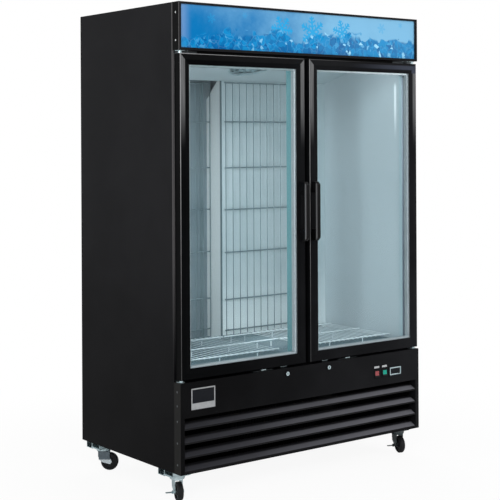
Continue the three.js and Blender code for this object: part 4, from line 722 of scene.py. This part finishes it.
def make_sign_print():
    """Frosty print of the header: blue that pales to the right, snow crystals, a bank of broken ice."""
    nodes = Finish("sign_print", grain=None, specular=0.02)
    place = nodes.place()
    x, _, z = nodes.axes(place)
    width = SIGN_HIGH.x - SIGN_LOW.x
    height = SIGN_HIGH.z - SIGN_LOW.z
    across = nodes.math("DIVIDE", nodes.less(x, SIGN_LOW.x), width)
    up = nodes.math("DIVIDE", nodes.less(z, SIGN_LOW.z), height)
    mist = nodes.noise(place, 4.0, detail=5.0, roughness=0.62)
    drift = nodes.math("MULTIPLY_ADD", nodes.less(mist, 0.5), MIST_SHARE, across)
    drift = nodes.math("MULTIPLY_ADD", nodes.less(up, 0.5), RISE_SHARE, drift)
    sky = nodes.blend(nodes.between(drift, 0.0, 0.86), SIGN_DEEP, SIGN_PALE)
    flake = make_snow_flake()
    flakes = []
    for share, rise, size, turn, strength in FLAKES:
        drawn = nodes.group(flake, {"Across": SIGN_LOW.x + share * width, "Up": SIGN_LOW.z + rise * height,
                                    "Size": size, "Turn": turn})
        flakes.append(nodes.times(drawn["Mask"], strength))
    sky = nodes.blend(nodes.most(*flakes), sky, FLAKE_BLUE)
    sky = nodes.blend(nodes.times(nodes.between(across, 0.05, 0.0), HAZE_STRENGTH), sky, SIGN_HAZE)
    bend = nodes.add("ShaderNodeTexNoise", {"Vector": place, "Scale": 30.0}).outputs["Color"]
    bent = nodes.vector("ADD", place, nodes.vector("MULTIPLY", bend, ICE_BEND))
    block = nodes.cells(bent, ICE_BLOCKS)
    facet = nodes.cells(bent, ICE_FACETS)
    rims = nodes.add("ShaderNodeTexVoronoi", {"Vector": bent, "Scale": ICE_BLOCKS},
                     feature="DISTANCE_TO_EDGE").outputs["Distance"]
    shade = nodes.math("MULTIPLY_ADD", block, BLOCK_SHARE, nodes.times(facet, 1 - BLOCK_SHARE))
    lump = nodes.blend(nodes.between(shade, 0.15, 0.75), ICE_DARK, ICE_MIDDLE)
    glint = nodes.times(nodes.between(facet, 0.87, 0.98), nodes.between(across, -0.1, 0.6))
    lump = nodes.blend(glint, lump, ICE_LIGHT)
    lump = nodes.blend(nodes.times(nodes.between(rims, 0.05, 0.0), RIM_STRENGTH), lump, ICE_LIGHT)
    shore = nodes.math("MULTIPLY_ADD", nodes.noise(place, 3.4, detail=3.0), BANK_SWING, BANK_LEVEL)
    edge = nodes.less(nodes.math("MULTIPLY_ADD", block, BANK_BREAK, shore), up)
    art = nodes.blend(nodes.times(nodes.between(edge, 0.0, 0.10), BANK_COVER), sky, lump)
    nodes.put("Emission Color", art)
    nodes.put("Emission Strength", SIGN_GLOW)
    nodes.put("Roughness", 0.5)
    return nodes.paint(art)


# ---- controller, badge, switches and locks
ORIGIN = (0.0, 0.0, 0.0)
SOFT_BACK = (-0.2 * MM,) * 3  # from the edge of a mask to where it begins
SOFT_ON = (0.2 * MM,) * 3
BEZEL_INSET = (3, 8, 3, 3)  # left, bottom, right and top, in millimetres
WINDOW_INSET = (8, 13, 8, 8)
BADGE_INSET = (5, 26, 5, 5)
LENS_INSET = (3, 8, 0, 2)
LOCK_RADIUS = 9 * MM
KEYWAY_HALF = (2.4 * MM, 1.6 * MM)
KEYWAY_RISE = (5.2 * MM, 4.6 * MM)
KEYWAY_DEPTH = (MM, -MM)


def make_box_mask():
    """1 between two corners across X and Z, 0 outside them."""
    nodes, given, result = new_group("box_mask", {"Low": ORIGIN, "High": ORIGIN}, ("Mask",))
    place = nodes.axes()
    limits = [nodes.axes(nodes.vector("ADD", given[corner], shift))
              for corner in ("Low", "High") for shift in (SOFT_BACK, SOFT_ON)]
    bands = [nodes.band(place[axis], *[limit[axis] for limit in limits]) for axis in (0, 2)]
    nodes.give(result["Mask"], nodes.times(*bands))
    return nodes.tree


BOX_MASK = make_box_mask()


def window(nodes, name, inset):
    """1 over the box of that node without the inset round it, 0 outside."""
    low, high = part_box(name)
    left, bottom, right, top = (side * MM for side in inset)
    corners = {"Low": (low.x + left, 0.0, low.z + bottom), "High": (high.x - right, 0.0, high.z - top)}
    return nodes.group(BOX_MASK, corners)["Mask"]


def make_controller():
    """Silver bezel round a dark window, in a black housing."""
    nodes = Finish("controller_face", METAL_GRAIN, specular=0.06, Depth=0.03, Gloss=0.30)
    silver = nodes.times(window(nodes, "controller", BEZEL_INSET),
                         nodes.less(1.0, window(nodes, "controller", WINDOW_INSET)))
    nodes.put("Metallic", silver)
    return nodes.paint(nodes.blend(silver, nodes.mottled(WINDOW), nodes.mottled(ZINC)))


def make_badge():
    """Bare badge: a dark field in a silver frame with a broad foot."""
    nodes = Finish("badge_metal", METAL_GRAIN, specular=0.06, Depth=0.04, Gloss=0.32)
    field = window(nodes, "badge_plate", BADGE_INSET)
    nodes.put("Metallic", nodes.less(1.0, field))
    return nodes.paint(nodes.blend(field, nodes.mottled(BADGE_SILVER), nodes.mottled(WINDOW)))


def make_rocker(name, node_name, lit):
    """Coloured lens in the upper part of a black rocker."""
    nodes = Finish(name, specular=0.15, Scale=1800.0, Depth=0.03, Gloss=0.25)
    lens = window(nodes, node_name, LENS_INSET)
    return nodes.paint(nodes.blend(lens, PLASTIC_BLACK, nodes.mottled(lit)))


def make_lock_face():
    """Bright plug with a dark keyway."""
    nodes = Finish("lock_plug", METAL_GRAIN, metallic=0.85, Depth=0.03, Gloss=0.28)
    x, y, z = nodes.axes()
    low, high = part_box("right_lock")
    aside = nodes.size(nodes.less(nodes.size(x), low.x + LOCK_RADIUS))
    rise = nodes.size(nodes.less(z, (low.z + high.z) / 2))
    keyway = nodes.times(nodes.between(aside, *KEYWAY_HALF), nodes.between(rise, *KEYWAY_RISE),
                         nodes.ramp(y, FACE_Y, KEYWAY_DEPTH))
    return nodes.paint(nodes.blend(keyway, nodes.mottled(ZINC), HOLE_BLACK))


# ---- hinges, forks and base
PLATE_START = (0.618, 0.626)  # painted highlights on the hinge plates, from the middle of the cabinet
PIN_START = (0.660, 0.668)
HINGE_REACH = (42 * MM, 36 * MM)
FORK_TOE = 47 * MM  # height at which the painted highlight on a fork's toe ends
FORK_CROWN = 92 * MM
FORK_MOTTLE = 0.45
# painted shade: the pan inside the base is near black
PAN_RISE = (31.8 * MM, 32.4 * MM)
SHADE_ACROSS = (0.1, 0.2)


def make_hinge():
    """Plated hinge plates: painted highlights at the pin, painted shade towards the middle of the door."""
    nodes = Finish("hinge_plate", METAL_GRAIN, metallic=1.0, Depth=0.05, Gloss=0.34)
    place = nodes.place()
    x, y, _ = nodes.axes(place)
    aside = nodes.size(x)
    # painted highlight specks on the plates
    highlight_specks = nodes.between(nodes.noise(place, 62.0, detail=1.0), 0.48, 0.54)
    plate = nodes.times(nodes.between(aside, *PLATE_START), highlight_specks)
    near = nodes.times(nodes.most(plate, nodes.between(aside, *PIN_START)),
                       nodes.ramp(y, FACE_Y, HINGE_REACH))
    return nodes.paint(nodes.blend(near, nodes.mottled(HINGE), nodes.mottled(ZINC)))


def make_fork_finish(name, crown, leg, toe):
    """Pressed fork, plated, with painted light and shade: its colour changes from the crown over the legs to
    the toes round the axle.
    """
    nodes = Finish(name, METAL_GRAIN, metallic=1.0, Depth=0.04, Gloss=0.32)
    z = nodes.axes()[2]
    colour = nodes.blend(nodes.between(z, FORK_TOE, FORK_TOE + 6 * MM), toe, leg)
    colour = nodes.blend(nodes.between(z, FORK_CROWN, FORK_CROWN + 4 * MM), colour, crown)
    return nodes.paint(nodes.blend(nodes.times(nodes.mottle, FORK_MOTTLE), colour, ZINC_SHADE_DARK))


def make_base_finish():
    """Dark pan, black paint darkened further as painted shade, over plated caster plates with painted shade
    on those on the right.
    """
    nodes = Finish("base_sheet", METAL_GRAIN, specular=0.0, Depth=0.05, Gloss=0.36)
    x, _, z = nodes.axes()
    pan = nodes.ramp(z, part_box("base_frame")[0].z, PAN_RISE)
    nodes.put("Metallic", nodes.less(1.0, pan))
    plates = nodes.blend(nodes.between(x, *SHADE_ACROSS), nodes.mottled(ZINC), nodes.mottled(ZINC_SHADE))
    return nodes.paint(nodes.blend(pan, plates, nodes.mottled(SHADE_AND_HOLE_BLACK)))


# ---- finish of every node
def both(part, row=""):
    """Names of the nodes of this part on the left and on the right."""
    return [f"{row}{side}_{part}" for side in SIDES]


def dress(finish, *names):
    """Gives the finish to those nodes, and returns it for pieces that share it."""
    for name in names:
        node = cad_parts[name]
        node.data.materials.clear()
        node.data.materials.append(finish)
    return finish


dress(grained("cabinet_paint", BLACK_PAINT, specular=0.05, **SPRAYED), "top_panel")
dress(make_side_finish(), *both("side_panel"))
dress(make_back_finish(), "back_panel")
dress(make_header_finish(), "header_box")
dress(make_sign_print(), "sign_panel")
dress(grained("lamp_tube", LAMP_WHITE, Scale=900.0, Depth=0.02, Gloss=0.2), "sign_lamp")
dress(make_body_frame_finish(), "front_frame")
dress(grained("foam", FOAM, Scale=300.0, Depth=0.5, Gloss=0.9), "insulation")
dress(make_panel_finish(), "lower_panel")
dress(make_louvre_finish(), "louvre_grille")
dress(make_badge(), "badge_plate")
dress(make_controller(), "controller")
dress(make_rocker("red_rocker", "lamp_switch", RED_ROCKER), "lamp_switch")
dress(make_rocker("green_rocker", "power_switch", GREEN_ROCKER), "power_switch")
dress(grained("black_plastic", PLASTIC, specular=0.10,
              Scale=1600.0, Depth=0.10, Gloss=0.32), "key_up", "key_down")
dress(make_door_finish(), *both("door_frame"))
dress(make_handle_finish(), *both("door_handle"))
dress(make_glass(), *both("door_outer_glass"), *both("door_inner_glass"))
dress(grained("gasket_rubber", RUBBER, specular=0.1,
              Scale=1400.0, Depth=0.2, Gloss=0.6), *both("door_gasket"))
dress(make_hinge(), *both("top_hinge"), *both("bottom_hinge"))
dress(make_lock_face(), *both("lock"))
dress(make_base_finish(), "base_frame")
dress(make_fork_finish("front_left_fork", *FRONT_LEFT_FORK), "front_left_fork")
dress(make_fork_finish("front_right_fork", *FRONT_RIGHT_FORK), "front_right_fork")
dress(make_fork_finish("rear_fork", *REAR_FORK), *both("fork", "rear_"))
dress(grained("wheel_tyre", RUBBER, specular=0.15,
              Scale=1400.0, Depth=0.2, Gloss=0.45), *both("wheel", "front_"), *both("wheel", "rear_"))
dress(make_walls(), "inner_liner")
dress(make_duct_finish(), "air_duct")
dress(grained("coated_liner", LINER, specular=0.2, **COATED), "evaporator_cover")
dress(grained("fan_grey", FAN_GREY, METAL_GRAIN, specular=0.3, Depth=0.05, Gloss=0.45),
      "evaporator_fan_guard", "evaporator_fan_blades", "evaporator_coil")
dress(grained("guard_wire", WIRE_GREY, specular=0.3,
              Scale=900.0, Depth=0.08, Gloss=0.40), "duct_guard", "back_guard")
dress(make_rack_finish("rack_wire", WIRE_WHITE, WIRE_PALE), "right_floor_rack")
# condenser coil and shroud: black paint without gloss, darkened as painted shade behind the louvres
dress(grained("dark_sheet", SHADE_AND_HOLE_BLACK, specular=0.0,
              Scale=900.0, Depth=0.1, Gloss=0.6), "condenser_coil", "condenser_shroud")
dress(grained("aluminium_sheet", ALUMINIUM, METAL_GRAIN, metallic=1.0, Depth=0.04, Gloss=0.38),
      "condenser_fan_blades")
# compressor: black enamel darkened further as painted shade behind the louvres
dress(grained("compressor_enamel", PLASTIC, specular=0.06, Scale=900.0, Depth=0.15, Gloss=0.4), "compressor")

# the left and middle racks get a shaded copy of the rack's colours, as painted shade
SHADED_RACK = dress(make_rack_finish("rack_wire_left", WIRE_PALE, WIRE_SHADE), "left_floor_rack")
ZINC_PLATE = dress(grained("zinc_plate", ZINC, METAL_GRAIN, metallic=1.0, Depth=0.04, Gloss=0.30),
                   "front_left_brake", *both("lock_keeper"))
# painted shade: zinc in shade for the right front brake and the door rest plates
SHADED_PLATE = dress(grained("zinc_in_shade", ZINC_SHADE, METAL_GRAIN, metallic=1.0, Depth=0.04, Gloss=0.34),
                   "front_right_brake")
SPACER_METAL = make_spacer_finish()
# painted light: a sheet lighter than the shade under the duct, laid over it
FOOT_SHEET = grained("duct_foot", FLOOR_TEAL, specular=0.1, Scale=300.0, Depth=0.02, Gloss=0.5)
LABEL_SHEET = grained("blank_label", LABEL_GREY, Scale=1500.0, Depth=0.03, Gloss=0.4)


# ---- mesh helpers
SMOOTH_EDGE = math.radians(32)


def new_object(name, data):
    made = bpy.data.objects.new(name, data)
    scene.collection.objects.link(made)
    return made


def add_piece(name, mesh_data, finish, body):
    mesh = bpy.data.meshes.new(name)
    mesh_data.normal_update()
    mesh_data.to_mesh(mesh)
    mesh_data.free()
    mesh.materials.append(finish)
    for face in mesh.polygons:
        face.use_smooth = True
    mesh.set_sharp_from_angle(angle=SMOOTH_EDGE)
    piece = new_object(name, mesh)
    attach(piece, body)


def add_bar(shape, low, high, bevel):
    """Adds a box between two corners, its edges rounded by the bevel."""
    made = bmesh.ops.create_cube(shape, size=1.0)["verts"]
    size = [high[i] - low[i] for i in range(3)]
    middle = [(high[i] + low[i]) / 2 for i in range(3)]
    bmesh.ops.scale(shape, vec=size, verts=made)
    bmesh.ops.translate(shape, vec=middle, verts=made)
    edges = {edge for vert in made for edge in vert.link_edges}
    bmesh.ops.bevel(shape, geom=list(edges), offset=bevel, segments=2, affect="EDGES", profile=0.6)


def add_turned(shape, outline, sides, place):
    """Adds a closed solid turned about local Z, from [radius, height] points from axis to axis."""
    rings = []
    for radius, height in outline:
        if radius == 0.0:
            rings.append([shape.verts.new(place @ Vector((0, 0, height)))])
            continue
        ring = []
        for i in range(sides):
            angle = 2 * math.pi * i / sides
            point = Vector((radius * math.cos(angle), radius * math.sin(angle), height))
            ring.append(shape.verts.new(place @ point))
        rings.append(ring)
    for lower, upper in zip(rings, rings[1:]):
        for i in range(sides):
            j = (i + 1) % sides
            corners = [lower[i % len(lower)], lower[j % len(lower)],
                       upper[j % len(upper)], upper[i % len(upper)]]
            unique = list(dict.fromkeys(corners))
            if len(unique) > 2:
                shape.faces.new(unique)


WIRE_SIDES = 8


def add_wire(shape, start, end, radius):
    """Adds a straight wire with rounded ends between two points."""
    start, end = Vector(start), Vector(end)
    length = (end - start).length
    place = Matrix.Translation(start) @ (end - start).to_track_quat("Z", "Y").to_matrix().to_4x4()
    outline = [(0.0, 0.0), (radius * 0.7, 0.0), (radius, radius * 0.4),
               (radius, length - radius * 0.4), (radius * 0.7, length), (0.0, length)]
    add_turned(shape, outline, WIRE_SIDES, place)


# ---- glass unit spacers
SPACER_SIGHT = 8 * MM  # how much of the spacer shows inside the door frame
SPACER_HIDDEN = 8 * MM
SPACER_GAP = 0.3 * MM
SPACER_LIP = 2.5 * MM


def make_spacer(side):
    """Hollow bar round the edge of the glass unit, between its two panes."""
    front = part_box(f"{side}_door_outer_glass")[1].y + SPACER_GAP
    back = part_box(f"{side}_door_inner_glass")[0].y - SPACER_GAP
    low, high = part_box(f"{side}_door_frame")
    hidden = DOOR_FACE - SPACER_HIDDEN
    sight = DOOR_FACE + SPACER_SIGHT
    section = [
        (hidden, front), (sight - SPACER_LIP, front), (sight, front + SPACER_LIP),
        (sight, back - SPACER_LIP), (sight - SPACER_LIP, back), (hidden, back),
    ]
    shape = bmesh.new()
    loops = []
    for inset, y in section:
        left, right = low.x + inset, high.x - inset
        bottom, top = low.z + inset, high.z - inset
        corners = [(left, bottom), (right, bottom), (right, top), (left, top)]
        loops.append([shape.verts.new((x, y, z)) for x, z in corners])
    for i, loop in enumerate(loops):
        after = loops[(i + 1) % len(loops)]
        for k in range(4):
            shape.faces.new((loop[k], loop[(k + 1) % 4], after[(k + 1) % 4], after[k]))
    bmesh.ops.recalc_face_normals(shape, faces=shape.faces[:])
    add_piece(f"{side}_door_spacer", shape, SPACER_METAL, f"{side}_door")


# ---- floor rack and foot of the duct
RACK_GAP = 7 * MM  # between the middle rack and its neighbours
RACK_BAR = 3.2 * MM
RACK_WIRE = 1.8 * MM
RACK_WIRE_COUNT = 7
RACK_WIRE_SINK = 0.5 * MM  # how far the wires lie sunk into the bars
RACK_INSET = 12 * MM
RACK_START = 0.44  # share of the wide racks' depth at which the middle rack begins


def make_middle_rack():
    """Narrow rack on the floor between the two wide ones, behind the centre post."""
    rack = bmesh.new()
    half = -RACK_HIGH.x - RACK_GAP
    front = RACK_LOW.y + RACK_START * (RACK_HIGH.y - RACK_LOW.y)
    rear = RACK_HIGH.y
    bar_z = RACK_HIGH.z - RACK_BAR
    wire_z = bar_z - RACK_BAR - RACK_WIRE + RACK_WIRE_SINK
    for i in range(RACK_WIRE_COUNT):
        x = (2 * i / (RACK_WIRE_COUNT - 1) - 1) * (half - RACK_INSET)
        add_wire(rack, (x, front, wire_z), (x, rear, wire_z), RACK_WIRE)
    for y in (front + RACK_INSET, rear - 5 * RACK_INSET):
        add_wire(rack, (-half, y, bar_z), (half, y, bar_z), RACK_BAR)
        for x in (-half / 2, half / 2):
            add_wire(rack, (x, y, RACK_LOW.z), (x, y, bar_z), RACK_BAR)
    add_piece("middle_floor_rack", rack, SHADED_RACK, "cabinet")


def make_duct_foot():
    """Strip that closes the duct's foot down to the floor of the inside, put over the shade under the duct
    in a lighter colour, as painted light.
    """
    strip = bmesh.new()
    add_bar(strip, (DUCT_LOW.x + 3 * MM, DUCT_LOW.y + 2 * MM, RACK_LOW.z + 0.5 * MM),
            (DUCT_HIGH.x - 3 * MM, DUCT_LOW.y + 4 * MM, DUCT_LOW.z + 3 * MM), 0.4 * MM)
    add_piece("duct_foot", strip, FOOT_SHEET, "cabinet")


# ---- small parts of the front
REST_DEPTH = (13 * MM, 33 * MM)  # door rests, from the front face
REST_PLATE = 2.4 * MM
REST_BLOCK = 6.5 * MM  # top of the block above the lower panel
REST_BLOCK_HALF = 14 * MM
REST_LEAD = 3 * MM  # how far the block stands in front of its plate
DOOR_RESTS = ((-302 * MM, -191 * MM), (189 * MM, 300 * MM))
LABEL_HALF = (15.5 * MM, 4.5 * MM)
LABEL_THICKNESS = 0.5 * MM
LABEL_RISE = 321 * MM  # label centres above the cabinet's underside


def make_door_rests():
    """Thin plates on top of the lower panel, each with a block that carries a closed door."""
    plates = bmesh.new()
    blocks = bmesh.new()
    top = PANEL_HIGH.z
    front, back = (FACE_Y + depth for depth in REST_DEPTH)
    for x0, x1 in DOOR_RESTS:
        middle = (x0 + x1) / 2
        add_bar(plates, (x0, front, top), (x1, back, top + REST_PLATE), 0.5 * MM)
        add_bar(blocks, (middle - REST_BLOCK_HALF, front - REST_LEAD, top + REST_PLATE),
                (middle + REST_BLOCK_HALF, back, top + REST_BLOCK), 1.0 * MM)
    add_piece("door_rest_plates", plates, SHADED_PLATE, "cabinet")
    add_piece("door_rest_blocks", blocks, ZINC_PLATE, "cabinet")


def make_labels():
    """Bare strip over each rocker switch."""
    shape = bmesh.new()
    half_x, half_z = LABEL_HALF
    z = PANEL_LOW.z + LABEL_RISE
    for name in ("lamp_switch", "power_switch"):
        low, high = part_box(name)
        x = (low.x + high.x) / 2
        add_bar(shape, (x - half_x, FACE_Y - LABEL_THICKNESS, z - half_z),
                (x + half_x, FACE_Y, z + half_z), 0.2 * MM)
    add_piece("switch_labels", shape, LABEL_SHEET, "cabinet")


# ---- world, lamps, floor, camera
WORLD_LIGHT = 0.55
FLOOR_HALF = 40.0
FLOOR_GLOW = 0.92  # share of plain white round the freezer
FLOOR_RADII = (0.9, 2.2)  # between these it rises to pure white


def make_world():
    """White where it is seen, dimmer where it only lights."""
    world = bpy.data.worlds.new("white_studio")
    scene.world = world
    world.use_nodes = True
    world.node_tree.nodes.clear()
    nodes = Nodes(world.node_tree)
    path = nodes.add("ShaderNodeLightPath").outputs
    seen = nodes.most(path["Is Camera Ray"], path["Is Transmission Ray"], path["Is Glossy Ray"])
    plain = nodes.add("ShaderNodeBackground", {"Color": WHITE, "Strength": 1.0})
    dim = nodes.add("ShaderNodeBackground", {"Color": WHITE, "Strength": WORLD_LIGHT})
    mixed = nodes.add("ShaderNodeMixShader", {0: seen, 1: dim.outputs[0], 2: plain.outputs[0]})
    nodes.add("ShaderNodeOutputWorld", {"Surface": mixed.outputs[0]})


def make_floor():
    """Matt floor that turns into the white of the world away from the freezer."""
    nodes = Finish("floor_white", grain=None, specular=0.1)
    nodes.put("Roughness", 0.9)
    distance = nodes.add("ShaderNodeVectorMath", {0: nodes.place()}, operation="LENGTH").outputs["Value"]
    share = nodes.math("MULTIPLY_ADD", nodes.between(distance, *FLOOR_RADII), 1 - FLOOR_GLOW, FLOOR_GLOW)
    share = nodes.times(share, nodes.add("ShaderNodeLightPath").outputs["Is Camera Ray"])
    nodes.cover(share, "ShaderNodeEmission", Color=WHITE, Strength=1.0)
    mesh = bpy.data.meshes.new("studio_floor")
    signs = ((-1, -1), (1, -1), (1, 1), (-1, 1))
    mesh.from_pydata([(x * FLOOR_HALF, y * FLOOR_HALF, 0) for x, y in signs], [], [(0, 1, 2, 3)])
    mesh.materials.append(nodes.paint(STUDIO_FLOOR))
    floor = new_object("studio_floor", mesh)


def add_lamp(name, at, target, size, power, colour=WHITE, shown=True):
    """Area lamp aimed at a point; one that isn't shown leaves no glint."""
    lamp = bpy.data.lights.new(name, "AREA")
    lamp.shape = "RECTANGLE"
    lamp.size, lamp.size_y = size
    lamp.energy = power
    lamp.color = colour
    holder = new_object(name, lamp)
    holder.location = at
    holder.rotation_euler = (Vector(target) - Vector(at)).to_track_quat("-Z", "Y").to_euler()
    holder.visible_camera = False
    holder.visible_glossy = shown
    holder.visible_transmission = False


PHOTO_FOCAL = 1236.63  # in pixels of the picture
PHOTO_SIZE = 500
PHOTO_HORIZON = 140.68
SENSOR = 36.0
EYE = (-3.5724, -4.6015, 1.5070)
HEADING = 37.609
ROLL = -0.272
CLIP_END = 200


def make_camera():
    camera = bpy.data.cameras.new("camera")
    camera.sensor_fit = "HORIZONTAL"
    camera.sensor_width = SENSOR
    camera.lens = PHOTO_FOCAL / PHOTO_SIZE * SENSOR
    camera.shift_y = (PHOTO_HORIZON - PHOTO_SIZE / 2) / PHOTO_SIZE
    camera.clip_end = CLIP_END
    holder = new_object("camera", camera)
    turn = Matrix.Rotation(math.radians(-HEADING), 4, "Z") @ Matrix.Rotation(math.radians(90), 4, "X")
    roll = Matrix.Rotation(math.radians(ROLL), 4, "Z")
    holder.matrix_world = Matrix.Translation(EYE) @ turn @ roll
    scene.camera = holder


for side in SIDES:
    make_spacer(side)
make_door_rests()
make_middle_rack()
make_duct_foot()
make_labels()
make_world()
make_floor()
add_lamp("key_light", (-3.6, -5.2, 4.2), (0, 0, 1.0), (3.2, 2.4), 135, shown=False)
add_lamp("fill_light", (4.2, -4.4, 2.6), (0, 0, 1.0), (2.6, 2.6), 60, shown=False)
add_lamp("bevel_light", (-4.9, -3.3, 2.15), (-0.4, -0.38, 1.5), (0.55, 1.5), 80)
add_lamp("edge_light", (3.55, -5.3, 2.9), (0, -0.4, 1.5), (2.1, 0.7), 30)
add_lamp("rear_light", (2.6, 4.6, 3.6), (0, 0, 1.0), (3.0, 2.4), 90)
add_lamp("ceiling_led", (0, -0.28, 1.90), (0, 0.05, 0.9), (1.18, 0.05), 0.9, LED_TINT, shown=False)
add_lamp("jamb_led", (-0.61, -0.25, 1.05), (0.1, 0.1, 1.00), (0.03, 1.2), 3.2, LED_TINT, shown=False)
add_lamp("post_led", (0.0, -0.26, 0.90), (0.45, 0.2, 0.90), (0.03, 0.7), 0.6, LED_TINT, shown=False)
make_camera()

scene.view_settings.view_transform = "Standard"
